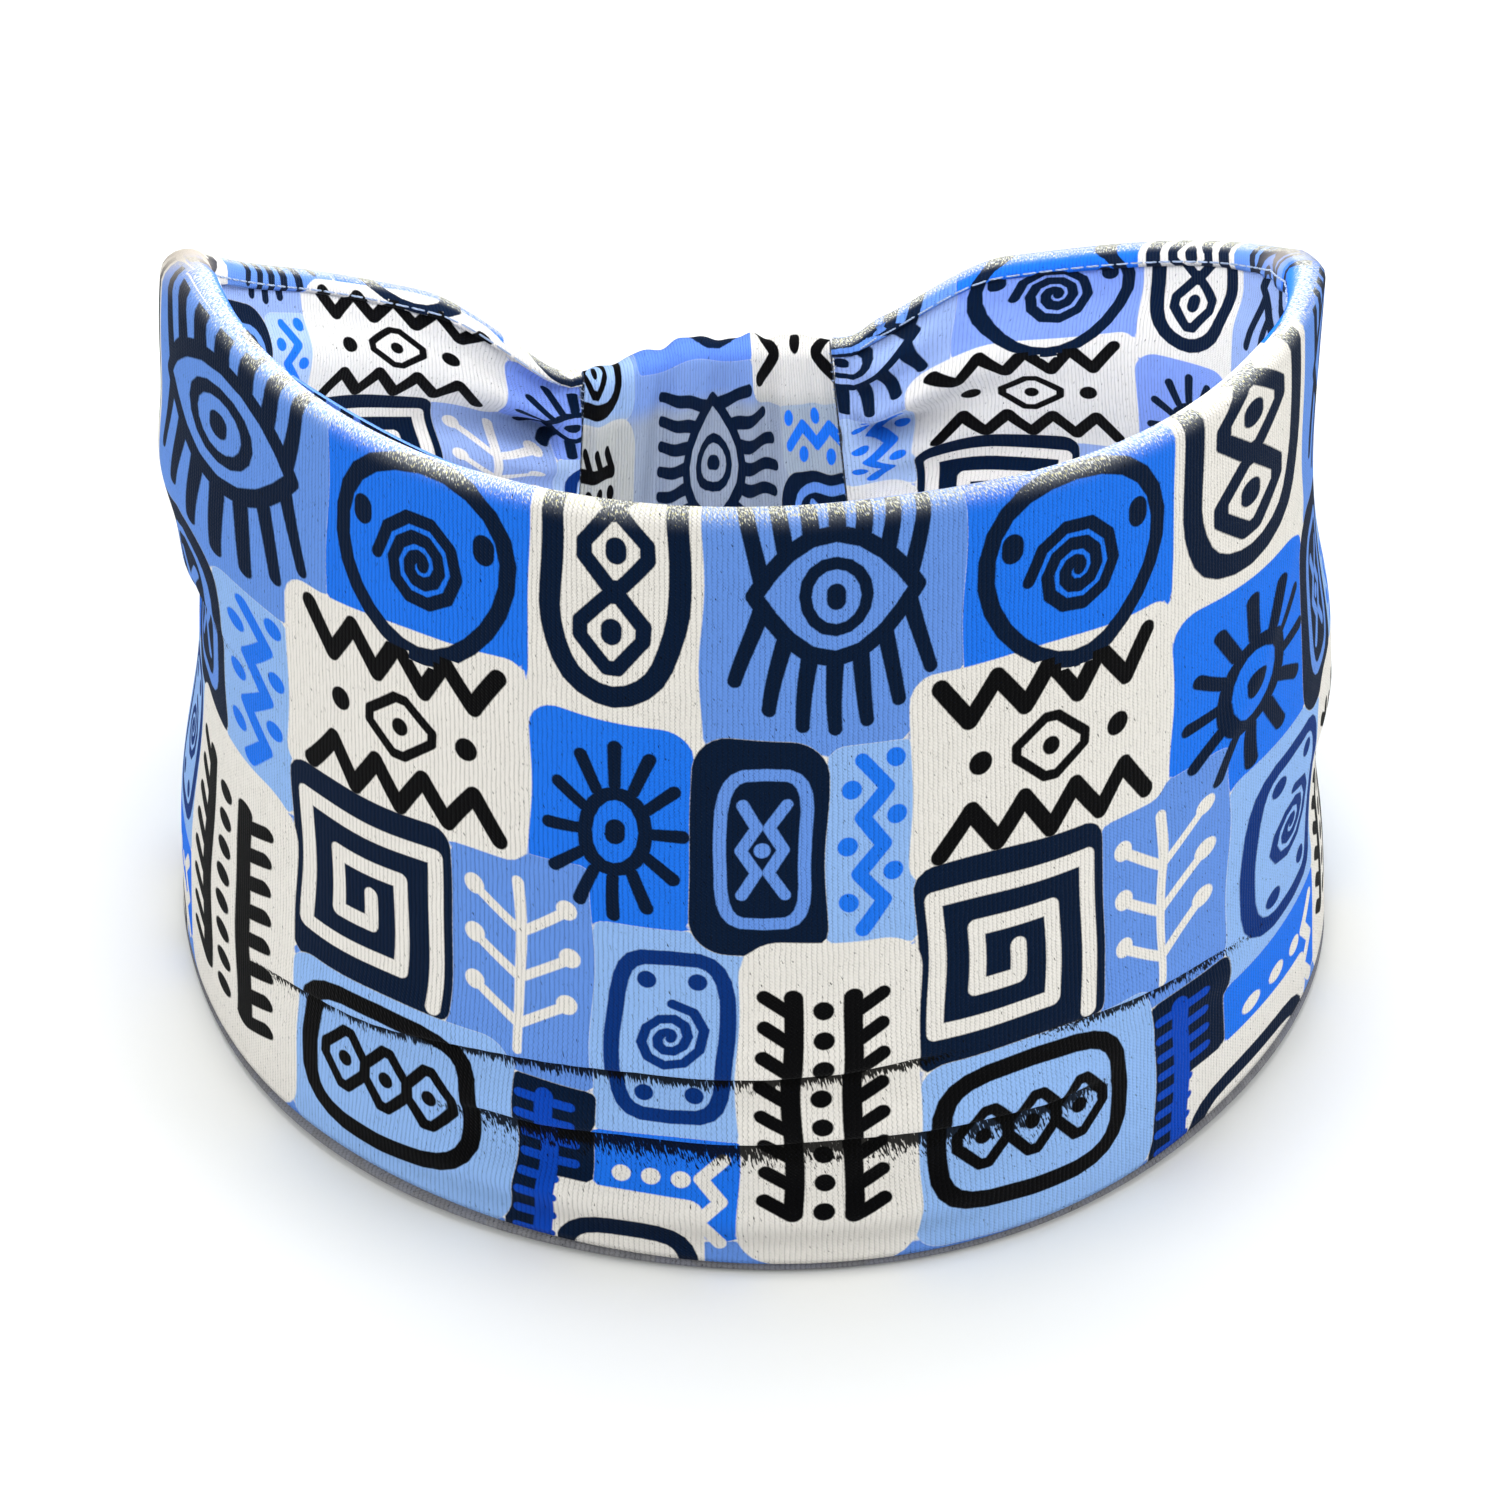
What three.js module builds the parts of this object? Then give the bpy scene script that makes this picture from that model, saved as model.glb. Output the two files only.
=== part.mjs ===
// Wide stretch-knit headband: a tall double-layer printed front that wraps the head, and a short
// gathered elastic casing that closes it at the back. Millimetres, +Z up, front facing -Y.
// Every cloth and seam is extruded as the flat strip it was cut from, then wrapped round the head line.
import * as THREE from "three";

// ---- Overall sizes -------------------------------------------------------------------------
const HALF_WIDTH = 83; // half of the band's width at its lower edge, between the cloth layers
const FRONT_DEPTH = 87; // from the widest line to the front, at the lower edge
const BACK_DEPTH = 68; // from the widest line to the casing, at the lower edge
const FRONT_HEIGHT = 112; // floor to the rolled top edge, front and sides
const TOP_INSET = 8; // how far the top edge leans in from the lower edge

// ---- Cloth and clearances ------------------------------------------------------------------
const CLOTH = 1; // one layer of printed knit
const PLY_GAP = 2; // air between the outer cloth and the lining
const GAP = 0.3; // clearance between pieces that touch
const THREAD = 0.6; // thickness of a row of stitching

// ---- Top edge --------------------------------------------------------------------------------
const ROLL_TAIL = 6; // how far the outer cloth runs down inside after it rolls over
const TOP_SEAM_WIDTH = 2;
const LINING_TUCK = 3; // how far the lining reaches up behind the tail

// ---- Bottom edge -----------------------------------------------------------------------------
const BOTTOM_SEAM_HEIGHT = 2.5; // height of the stitching line above the edge
const BOTTOM_SEAM_WIDTH = 2;

// ---- Back casing -----------------------------------------------------------------------------
const CASING_LENGTH = 42; // between the two joining seams, relaxed
const CASING_HEIGHT = 51;
const CASING_LIFT = 3; // the gathered casing stands clear of the surface
const CASING_THICKNESS = 6;
const ELASTIC_THICKNESS = 1.6;
const CASING_SEAM_WIDTH = 1.5;
const JOINING_SEAM_WIDTH = 1.6;
const GATHER_INSET = 4; // gathering thread to the panel's end
const GATHER_WIDTH = 1.2;
const TACK_WIDTH = 1.2;
const TACK_INSET = 2; // tack to the end of the elastic

// ---- Shape of the top line, from the front round to the casing ---------------------------------
const LEVEL_TO = THREE.MathUtils.degToRad(76); // the edge is level from the front to here
const SHOULDER_FALL = 0.85; // share of the drop taken by the even slope down the sides
const PINCH_FROM = 0.8; // share of the way back where the gathers pull the edge down

const STEPS = 76; // segments along the front panel
const CASING_STEPS = 14;
const ROLL_STEPS = 3;
const TABLE = 2000; // samples of the head line for its length

// ---- Derived sizes -----------------------------------------------------------------------------
const OUTER_INSIDE = PLY_GAP / 2;
const OUTER_FACE = OUTER_INSIDE + CLOTH;
const LINING_FACE = -OUTER_FACE;
const TAIL_OUTSIDE = LINING_FACE - GAP - THREAD - GAP;
const TAIL_INSIDE = TAIL_OUTSIDE - CLOTH;
const ROLL_RADIUS = (OUTER_FACE - TAIL_INSIDE) / 2;
const TAIL_BOTTOM = FRONT_HEIGHT - ROLL_RADIUS - ROLL_TAIL;
const LINING_TOP = TAIL_BOTTOM + LINING_TUCK;
const CASING_TOP = CASING_LIFT + CASING_HEIGHT;
const CASING_HALF = CASING_THICKNESS / 2;
const ELASTIC_HALF = ELASTIC_THICKNESS / 2;

// ---- The head line: an oval, fuller at the front, measured by its length from the front centre ----
function headPoint(angle) {
  const depth = Math.cos(angle) > 0 ? FRONT_DEPTH : BACK_DEPTH;
  return new THREE.Vector2(HALF_WIDTH * Math.sin(angle), -depth * Math.cos(angle));
}

function measureHeadLine() {
  const lengths = [0];
  for (let i = 1; i <= TABLE; i++) {
    const a = headPoint((Math.PI * (i - 1)) / TABLE);
    const b = headPoint((Math.PI * i) / TABLE);
    lengths.push(lengths[i - 1] + a.distanceTo(b));
  }
  return lengths;
}

const LINE = measureHeadLine();
const HALF_ROUND = LINE[TABLE]; // front centre to back centre
const PANEL_END = HALF_ROUND - CASING_LENGTH / 2 - JOINING_SEAM_WIDTH - 2 * GAP;

function angleAt(length) {
  const past = Math.abs(length) > HALF_ROUND;
  const target = past ? 2 * HALF_ROUND - Math.abs(length) : Math.abs(length);
  let low = 0;
  let high = TABLE;
  while (high - low > 1) {
    const middle = (low + high) >> 1;
    if (LINE[middle] <= target) low = middle;
    else high = middle;
  }
  const share = (target - LINE[low]) / (LINE[high] - LINE[low]);
  const angle = (Math.PI * (low + share)) / TABLE;
  return Math.sign(length) * (past ? 2 * Math.PI - angle : angle);
}

const PINCH_TO = angleAt(PANEL_END);

// Share of the full height left at an angle: 1 at the front, 0 at the casing.
function shoulder(angle) {
  const way = THREE.MathUtils.clamp((Math.abs(angle) - LEVEL_TO) / (PINCH_TO - LEVEL_TO), 0, 1);
  const pinch = Math.max(0, (way - PINCH_FROM) / (1 - PINCH_FROM));
  return (1 - SHOULDER_FALL * way) * (1 - pinch * pinch);
}

// Where a point of a flat strip goes: outward from the head line, up from the lower edge.
function wrap(length, outward, up) {
  const angle = angleAt(length);
  const depth = Math.cos(angle) > 0 ? FRONT_DEPTH : BACK_DEPTH;
  const normal = new THREE.Vector2(Math.sin(angle) / HALF_WIDTH, -Math.cos(angle) / depth);
  normal.normalize();
  const share = shoulder(angle);
  const top = CASING_TOP + (FRONT_HEIGHT - CASING_TOP) * share;
  const bottom = CASING_LIFT * THREE.MathUtils.clamp(1 - share / (1 - SHOULDER_FALL), 0, 1);
  const z = bottom + (up * (top - bottom)) / FRONT_HEIGHT;
  const inset = (TOP_INSET * z) / FRONT_HEIGHT;
  const point = headPoint(angle).addScaledVector(normal, outward - inset);
  return new THREE.Vector3(point.x, point.y, z);
}

// Extrudes a section (x outward, y up) along the strip from one length to another, and wraps it.
function strip(section, from, to, steps) {
  const options = { depth: to - from, steps, bevelEnabled: false, curveSegments: ROLL_STEPS };
  const geometry = new THREE.ExtrudeGeometry(section, options);
  const position = geometry.getAttribute("position");
  for (let i = 0; i < position.count; i++) {
    const x = position.getX(i);
    const y = position.getY(i);
    const wrapped = wrap(to - position.getZ(i), x, y);
    position.setXYZ(i, wrapped.x, wrapped.y, wrapped.z);
  }
  geometry.computeVertexNormals();
  return geometry;
}

function rectangle(left, right, bottom, top) {
  const shape = new THREE.Shape();
  shape.moveTo(left, bottom);
  shape.lineTo(right, bottom);
  shape.lineTo(right, top);
  shape.lineTo(left, top);
  shape.closePath();
  return shape;
}

// Heights of the casing pieces are real, so they are put back on the strip's full-height scale.
function casingHeight(z) {
  return ((z - CASING_LIFT) * FRONT_HEIGHT) / CASING_HEIGHT;
}

// ---- Printed cloths ------------------------------------------------------------------------------
// The outer cloth stands up, rolls over the top edge and runs a little way down inside.
function outerPanel() {
  const rollX = OUTER_FACE - ROLL_RADIUS;
  const rollY = FRONT_HEIGHT - ROLL_RADIUS;
  const section = new THREE.Shape();
  section.moveTo(OUTER_INSIDE, 0);
  section.lineTo(OUTER_FACE, 0);
  section.lineTo(OUTER_FACE, rollY);
  section.absarc(rollX, rollY, ROLL_RADIUS, 0, Math.PI, false);
  section.lineTo(TAIL_INSIDE, TAIL_BOTTOM);
  section.lineTo(TAIL_OUTSIDE, TAIL_BOTTOM);
  section.lineTo(TAIL_OUTSIDE, rollY);
  section.absarc(rollX, rollY, ROLL_RADIUS - CLOTH, Math.PI, 0, true);
  section.closePath();
  return strip(section, -PANEL_END, PANEL_END, STEPS);
}

function liningPanel() {
  const section = rectangle(LINING_FACE, -OUTER_INSIDE, 0, LINING_TOP);
  return strip(section, -PANEL_END, PANEL_END, STEPS);
}

// A sleeve of cloth, open at both ends, that the elastic runs through.
function backCasing() {
  const bottom = casingHeight(CASING_LIFT);
  const top = casingHeight(CASING_TOP);
  const section = rectangle(-CASING_HALF, CASING_HALF, bottom, top);
  const innerBottom = casingHeight(CASING_LIFT + CLOTH);
  const innerTop = casingHeight(CASING_TOP - CLOTH);
  section.holes.push(rectangle(CLOTH - CASING_HALF, CASING_HALF - CLOTH, innerBottom, innerTop));
  return strip(section, HALF_ROUND - CASING_LENGTH / 2, HALF_ROUND + CASING_LENGTH / 2, CASING_STEPS);
}

// ---- Elastic and its stitching -------------------------------------------------------------------
const ELASTIC_BOTTOM = CASING_LIFT + CLOTH + CASING_SEAM_WIDTH + 2 * GAP;
const ELASTIC_TOP = CASING_TOP - CLOTH - GAP;

function elasticBand() {
  const section = rectangle(
    -ELASTIC_HALF,
    ELASTIC_HALF,
    casingHeight(ELASTIC_BOTTOM),
    casingHeight(ELASTIC_TOP),
  );
  return strip(section, HALF_ROUND - CASING_LENGTH / 2, HALF_ROUND + CASING_LENGTH / 2, CASING_STEPS);
}

function backCasingSeam() {
  const bottom = CASING_LIFT + CLOTH + GAP;
  const section = rectangle(
    -THREAD / 2,
    THREAD / 2,
    casingHeight(bottom),
    casingHeight(bottom + CASING_SEAM_WIDTH),
  );
  return strip(section, HALF_ROUND - CASING_LENGTH / 2, HALF_ROUND + CASING_LENGTH / 2, CASING_STEPS);
}

// side is -1 for the left, 1 for the right, seen from the front.
function elasticTack(side) {
  const section = rectangle(
    ELASTIC_HALF + GAP,
    ELASTIC_HALF + GAP + THREAD,
    casingHeight(ELASTIC_BOTTOM + TACK_INSET),
    casingHeight(ELASTIC_TOP - TACK_INSET),
  );
  const near = HALF_ROUND - CASING_LENGTH / 2 + TACK_INSET;
  return sidedStrip(section, near, near + TACK_WIDTH, side);
}

// ---- Rows of stitching ---------------------------------------------------------------------------
function topEdgeSeam() {
  const section = rectangle(
    LINING_FACE - GAP - THREAD,
    LINING_FACE - GAP,
    TAIL_BOTTOM,
    TAIL_BOTTOM + TOP_SEAM_WIDTH,
  );
  return strip(section, -PANEL_END, PANEL_END, STEPS);
}

function bottomEdgeSeam() {
  const reach = OUTER_INSIDE - GAP;
  const section = rectangle(-reach, reach, BOTTOM_SEAM_HEIGHT, BOTTOM_SEAM_HEIGHT + BOTTOM_SEAM_WIDTH);
  const end = PANEL_END - GATHER_INSET - GATHER_WIDTH - GAP;
  return strip(section, -end, end, STEPS);
}

function gatherThread(side) {
  const reach = OUTER_INSIDE - GAP;
  const section = rectangle(-reach, reach, BOTTOM_SEAM_HEIGHT, LINING_TOP);
  const near = PANEL_END - GATHER_INSET - GATHER_WIDTH;
  return sidedStrip(section, near, near + GATHER_WIDTH, side);
}

function joiningSeam(side) {
  const section = rectangle(
    -CASING_HALF,
    CASING_HALF,
    casingHeight(CASING_LIFT),
    casingHeight(CASING_TOP),
  );
  const near = PANEL_END + GAP;
  return sidedStrip(section, near, near + JOINING_SEAM_WIDTH, side);
}

// A short strip on one side of the band; near and far are lengths from the front centre.
function sidedStrip(section, near, far, side) {
  const from = side > 0 ? near : -far;
  const to = side > 0 ? far : -near;
  return strip(section, from, to, 1);
}

// ---- Finishes ------------------------------------------------------------------------------------
function knit() {
  return new THREE.MeshStandardMaterial({ color: 0x6c9be0, roughness: 0.85, metalness: 0 });
}

function thread() {
  return new THREE.MeshStandardMaterial({ color: 0x14305c, roughness: 0.7, metalness: 0 });
}

function elastic() {
  return new THREE.MeshStandardMaterial({ color: 0xe8e6e0, roughness: 0.8, metalness: 0 });
}

// ---- Assembly ------------------------------------------------------------------------------------
// The head line is moved so that the origin is the centre of the footprint, on the surface.
const FRONT_FACE = FRONT_DEPTH + OUTER_FACE;
const BACK_FACE = BACK_DEPTH + CASING_HALF - (TOP_INSET * CASING_LIFT) / FRONT_HEIGHT;
const band = new THREE.Group();
band.position.y = (FRONT_FACE - BACK_FACE) / 2;

function addPiece(name, geometry, material) {
  const mesh = new THREE.Mesh(geometry, material);
  mesh.name = name;
  band.add(mesh);
}

addPiece("outer_panel", outerPanel(), knit());
addPiece("lining_panel", liningPanel(), knit());
addPiece("top_edge_seam", topEdgeSeam(), thread());
addPiece("bottom_edge_seam", bottomEdgeSeam(), thread());
addPiece("back_casing", backCasing(), knit());
addPiece("back_casing_seam", backCasingSeam(), thread());
addPiece("elastic_band", elasticBand(), elastic());
for (const [word, side] of [["left", -1], ["right", 1]]) {
  addPiece(`${word}_gather_thread`, gatherThread(side), thread());
  addPiece(`${word}_joining_seam`, joiningSeam(side), thread());
  addPiece(`${word}_elastic_tack`, elasticTack(side), thread());
}

export default band;
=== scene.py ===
"""Wide stretch-knit headband: printed front and lining, gathered elastic casing, and its stitching.

Lengths along the cloth are worked out in millimetres and turned into metres when a mesh is made.
"""

import math

import bpy
import numpy as np
from bpy.props import FloatProperty, FloatVectorProperty, IntProperty, PointerProperty
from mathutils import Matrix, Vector


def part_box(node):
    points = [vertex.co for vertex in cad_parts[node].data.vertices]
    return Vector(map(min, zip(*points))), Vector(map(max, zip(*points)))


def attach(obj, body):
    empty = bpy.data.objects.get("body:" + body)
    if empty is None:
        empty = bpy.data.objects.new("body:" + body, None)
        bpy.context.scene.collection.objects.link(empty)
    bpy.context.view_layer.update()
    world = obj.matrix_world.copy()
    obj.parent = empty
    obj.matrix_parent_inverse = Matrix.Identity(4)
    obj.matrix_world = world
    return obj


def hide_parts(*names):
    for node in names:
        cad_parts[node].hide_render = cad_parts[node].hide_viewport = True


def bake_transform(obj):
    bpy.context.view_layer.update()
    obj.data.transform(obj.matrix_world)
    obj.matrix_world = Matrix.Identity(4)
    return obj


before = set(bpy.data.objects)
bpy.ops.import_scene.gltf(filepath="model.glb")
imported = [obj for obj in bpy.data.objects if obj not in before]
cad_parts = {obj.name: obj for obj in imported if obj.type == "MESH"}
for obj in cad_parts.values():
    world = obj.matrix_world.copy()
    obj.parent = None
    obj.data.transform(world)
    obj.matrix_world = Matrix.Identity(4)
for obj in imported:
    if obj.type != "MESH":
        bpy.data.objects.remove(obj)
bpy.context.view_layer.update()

bl_info = {
    "name": "Stretch Headband",
    "version": (1, 0, 0),
    "blender": (4, 5, 0),
    "location": "View3D > Sidebar > Headband",
    "description": "Makes a wide printed stretch headband with a gathered elastic back",
    "category": "Add Mesh",
}

METRE = 1000.0  # millimetres
OUTER_LOW, OUTER_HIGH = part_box("outer_panel")
CASING_LOW, CASING_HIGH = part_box("back_casing")
ELASTIC_LOW, ELASTIC_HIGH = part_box("elastic_band")


# ---- Sizes and colours that a user would change --------------------------------------------------
def length(name, description, default):
    return FloatProperty(
        name=name, description=description, default=default, unit="LENGTH", subtype="DISTANCE"
    )


def ink(name, description, default):
    return FloatVectorProperty(
        name=name, description=description, default=default, size=3, min=0, max=1, subtype="COLOR"
    )


class BandShape(bpy.types.PropertyGroup):
    half_width: length("Half width", "Half the width of the head line at the lower edge", 0.083)
    front_depth: length("Front depth", "From the widest line to the front", 0.087)
    back_depth: length("Back depth", "From the widest line to the casing", 0.068)
    top_inset: length("Top inset", "How far the top edge leans in", 0.008)
    ply_reach: length("Ply reach", "From the head line to each printed face", 0.0018)
    roll_radius: length("Roll radius", "Radius of the rolled top edge", 0.0018)
    tail: length("Tail", "How far the roll runs down inside", 0.0026)
    casing_length: length("Casing length", "Elastic casing, relaxed", 0.042)
    joining_gap: length("Joining gap", "From a panel's end to the casing", 0.0022)
    corner_lift: length("Corner lift", "How far one top corner stands above the other", 0.0078)


class BandCloth(bpy.types.PropertyGroup):
    thickness: length("Thickness", "One layer of knit", 0.00045)
    spacing: length("Spacing", "Distance between mesh points on the printed face", 0.001)
    wale: length("Wale", "Width of one column of knit loops", 0.00068)
    course: length("Course", "Height of one row of knit loops", 0.0005)
    tuck_depth: length("Tuck depth", "How far an overlapping crease stands out", 0.0012)
    gather_depth: length("Gather depth", "Height of the gathers beside the casing", 0.0030)
    ruche_depth: length("Ruche depth", "Height of the casing's ruches", 0.0011)
    folds: IntProperty(name="Folds", description="Gathers at each end of the panel", default=6, min=2, max=12)


class BandPrint(bpy.types.PropertyGroup):
    repeat: length("Repeat", "Width of one repeat of the print", 0.091)
    cream: ink("Cream", "Unprinted cloth", (0.82, 0.785, 0.74))
    periwinkle: ink("Periwinkle", "Soft violet blue ink", (0.13, 0.29, 0.77))
    sky: ink("Sky", "Pale blue ink", (0.285, 0.48, 0.87))
    cobalt: ink("Cobalt", "Bright blue ink", (0.012, 0.175, 0.86))
    royal: ink("Royal", "Deep bright blue ink", (0.002, 0.060, 0.48))
    ultramarine: ink("Ultramarine", "Dark blue ink", (0.001, 0.030, 0.19))
    navy: ink("Navy", "Nearly black blue ink", (0.0005, 0.0085, 0.032))
    black: ink("Black", "Black ink", (0.001, 0.001, 0.0015))


INKS = ("cream", "periwinkle", "sky", "cobalt", "royal", "ultramarine", "navy", "black")


# ---- The head line and the band's form -----------------------------------------------------------
def smooth(low, high, value):
    way = np.clip((value - low) / (high - low), 0, 1)
    return way * way * (3 - 2 * way)


def bell(value, centre, spread):
    return np.exp(-(((value - centre) / spread) ** 2))


class Form:
    """Where the cloth lies: along the head line from the front centre, outward from it, and up."""

    level_to = math.radians(76)
    shoulder_fall = 0.85
    pinch_from = 0.8
    samples = 4000
    left_drop = 3.2  # the casing's left end stands lower

    def __init__(self, context):
        shape, cloth = context.scene.band_shape, context.scene.band_cloth
        self.half_width = shape.half_width * METRE
        self.front_depth = shape.front_depth * METRE
        self.back_depth = shape.back_depth * METRE
        # The soft roll is slimmer than the CAD's, and stands a little higher.
        self.height = OUTER_HIGH[2] * METRE + 1.0
        self.casing_bottom = CASING_LOW[2] * METRE
        self.casing_top = CASING_HIGH[2] * METRE
        self.inset = shape.top_inset * METRE
        self.reach = shape.ply_reach * METRE
        self.lift = shape.corner_lift * METRE
        self.gather = cloth.gather_depth * METRE
        self.folds = cloth.folds
        # The CAD wall is 2 mm outside the head line, and leans in by nothing at the floor.
        self.centre_y = OUTER_LOW[1] * METRE + 2.0 + self.front_depth
        self.angles = np.linspace(0, 2 * np.pi, 2 * self.samples + 1)
        line = self.oval(self.angles)
        steps = np.hypot(*np.diff(line, axis=1))
        self.lengths = np.concatenate([[0.0], np.cumsum(steps)])
        self.half_round = self.lengths[self.samples]
        self.casing_half = shape.casing_length * METRE / 2
        self.panel_end = self.half_round - self.casing_half - shape.joining_gap * METRE
        self.pinch_to = self.angle(self.panel_end)

    def depth(self, angle):
        return np.where(np.cos(angle) > 0, self.front_depth, self.back_depth)

    def oval(self, angle):
        return np.stack([self.half_width * np.sin(angle), -self.depth(angle) * np.cos(angle)])

    def angle(self, along):
        return np.sign(along) * np.interp(np.abs(along), self.lengths, self.angles)

    def shoulder(self, angle):
        way = np.clip((np.abs(angle) - self.level_to) / (self.pinch_to - self.level_to), 0, 1)
        pinch = np.maximum(0, (way - self.pinch_from) / (1 - self.pinch_from))
        return (1 - self.shoulder_fall * way) * (1 - pinch * pinch)

    def gathers(self, along, share):
        """Short folds beside the casing, and longer ones that reach into the panel."""
        side = np.sign(along)
        to_end = self.panel_end - np.abs(along)
        short = np.sin(2 * np.pi * (self.folds * share + 0.12 * side) + 1.1 * np.sin(to_end / 11 + side))
        short = short * np.exp(-np.maximum(to_end, 0) / 15)
        long_fold = np.sin(2 * np.pi * (0.47 * self.folds * share + 0.31 + 0.17 * side) + to_end / 34)
        long_fold = long_fold * np.exp(-np.maximum(to_end, 0) / 34)
        return smooth(0, 6, to_end) * (1.05 * short + 0.85 * long_fold)

    def fold_depth(self, along, share, way):
        """From 0 to 1, how deep a point lies in a gather, for the painted shade there. way is 1 seen from
        inside and -1 from outside.
        """
        return 0.75 * smooth(0.15, 1.2, way * self.gathers(along, share))

    def relief(self, along, share):
        """How far both cloths stand out from the plain wall. share runs from 0, low, to 1 at the top."""
        side = np.sign(along)
        to_end = self.panel_end - np.abs(along)
        on_panel = to_end >= 0
        z = share * self.height
        left = bell(along, -128, 34)
        right = bell(along, 128, 34)
        # Each bulge: how far it stands out, its height, and its spread.
        left_bulges = ((2.0, 100, 22), (2.2, 82, 9), (-2.9, 52, 26), (-0.8, 0, 14))
        right_bulges = ((-2.2, 84, 20), (1.4, 52, 13), (-0.9, 30, 9))
        out = left * sum(far * bell(z, level, spread) for far, level, spread in left_bulges)
        out = out + right * sum(far * bell(z, level, spread) for far, level, spread in right_bulges)
        out = out + 0.55 * np.sin(along / 27 + 0.8) * np.sin(z / 21 + 0.4) * bell(along, 0, 170)
        out = out + 0.35 * np.sin(along / 13.7 + z / 26)
        # A long soft ridge runs down across the right of the front.
        out = out + 0.7 * bell(along - 56 - 1.13 * (z - 54), 0, 4.5) * bell(z, 66, 17)
        gathers = self.gather * self.gathers(along, share)
        # On the right the top edge rolls inward before it reaches the casing.
        rolled = 3.2 * (side > 0) * bell(share, 0.9, 0.13) * smooth(0, 9, to_end) * np.exp(-to_end / 24)
        return out + np.where(on_panel, gathers - rolled, 0)

    def corner_rise(self, along, share):
        corner = bell(np.abs(self.angle(along)), math.pi / 2, math.radians(30))
        return -0.5 * self.lift * np.sign(along) * corner * np.clip(share, 0, None) ** 2

    def away(self, points):
        """Level arrows from the band's middle to the points."""
        return (points - [0, self.centre_y, 0]) * [1, 1, 0]

    def place(self, along, outward, up, relief=1.0):
        """Points in millimetres. up runs from 0 to the band's height on any column, however low it is."""
        along, outward, up = np.broadcast_arrays(
            np.asarray(along, float), np.asarray(outward, float), np.asarray(up, float)
        )
        # Left of the back's middle line is positive here. The casing is widest at its lower edge.
        back = np.where(along > 0, along - self.half_round, along + self.half_round)
        joint = self.half_round - self.panel_end
        hat = np.minimum(np.abs(back) / joint, 1) * np.exp(-np.maximum(np.abs(back) - joint, 0) / 25)
        narrow = np.where(back > 0, 2.0, 5.5) * (np.clip(up / self.height, 0, 1) - 0.45) * hat
        angle = self.angle(along - np.sign(back) * narrow)
        normal = np.stack([np.sin(angle) / self.half_width, -np.cos(angle) / self.depth(angle)])
        normal = normal / np.hypot(*normal)
        level = self.shoulder(angle)
        top = self.casing_top + (self.height - self.casing_top) * level
        top = top - self.left_drop * smooth(2, 20, back) * (1 - smooth(24, 75, back))
        low = self.casing_bottom * np.clip(1 - level / (1 - self.shoulder_fall), 0, 1)
        share = up / self.height
        z = low + share * (top - low)
        z = z + self.corner_rise(along, share)
        out = outward - self.inset * z / self.height + relief * self.relief(along, share)
        point = self.oval(angle) + normal * out
        return np.stack([point[0], point[1] + self.centre_y, z], axis=-1)


# ---- Cloth meshes --------------------------------------------------------------------------------
def steps_between(low, high, spacing):
    """Evenly spaced values, an odd number of them, so that the back can use every other one."""
    count = 2 * math.ceil((high - low) / spacing / 2)
    return np.linspace(low, high, count + 1)


def joined_steps(*parts):
    """Runs of evenly spaced values, each part being low, high and spacing, one after another."""
    runs = [steps_between(*part) for part in parts]
    return np.concatenate([runs[0], *[run[1:] for run in runs[1:]]])


def grid_faces(columns, rows, first=0, flip=False):
    corner = first + np.arange(columns * rows).reshape(columns, rows)
    a, b = corner[:-1, :-1], corner[1:, :-1]
    c, d = corner[1:, 1:], corner[:-1, 1:]
    order = (a, d, c, b) if flip else (a, b, c, d)
    return np.stack([x.ravel() for x in order], axis=1)


def rim_faces(fine, coarse, flip):
    """Three triangles for each coarse edge, which spans two fine ones."""
    f0, f1, f2 = fine[:-2:2], fine[1:-1:2], fine[2::2]
    c0, c1 = coarse[:-1], coarse[1:]
    triangles = np.concatenate(
        [np.stack(t, axis=1) for t in ((f0, c0, f1), (c0, c1, f1), (f1, c1, f2))]
    )
    return triangles[:, ::-1] if flip else triangles


def new_object(name, points, faces):
    """faces is a list of arrays, each of faces with one number of corners."""
    mesh = bpy.data.meshes.new(name)
    mesh.from_pydata((points / METRE).tolist(), [], [f for group in faces for f in group.tolist()])
    mesh.validate()
    mesh.polygons.foreach_set("use_smooth", np.ones(len(mesh.polygons), bool))
    piece = bpy.data.objects.new(name, mesh)
    bpy.context.scene.collection.objects.link(piece)
    return piece


def surface_normals(grid, flip):
    across = np.gradient(grid, axis=0)
    along = np.gradient(grid, axis=1)
    normal = np.cross(across, along)
    normal /= np.linalg.norm(normal, axis=-1, keepdims=True) + 1e-12
    return -normal if flip else normal


def cloth_object(name, grid, thickness, flip):
    """A closed cloth: a fine printed face, a coarser back, and a rim that joins them."""
    columns, rows = grid.shape[:2]
    normals = surface_normals(grid, flip)
    back = (grid - thickness * normals)[::2, ::2]
    face_points = grid.reshape(-1, 3)
    points = np.concatenate([face_points, back.reshape(-1, 3)])
    first = len(face_points)
    fine = np.arange(first).reshape(columns, rows)
    coarse = first + np.arange(back.shape[0] * back.shape[1]).reshape(back.shape[:2])
    faces = [
        grid_faces(columns, rows, 0, flip),
        grid_faces(*back.shape[:2], first, not flip),
        rim_faces(fine[:, 0], coarse[:, 0], not flip),
        rim_faces(fine[:, -1], coarse[:, -1], flip),
        rim_faces(fine[0], coarse[0], flip),
        rim_faces(fine[-1], coarse[-1], not flip),
    ]
    return new_object(name, points, faces)


def both_faces(values):
    """A value for each point of the printed face, and again for each point of the coarser back."""
    return np.concatenate([values.reshape(-1), values[::2, ::2].reshape(-1)])


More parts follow.
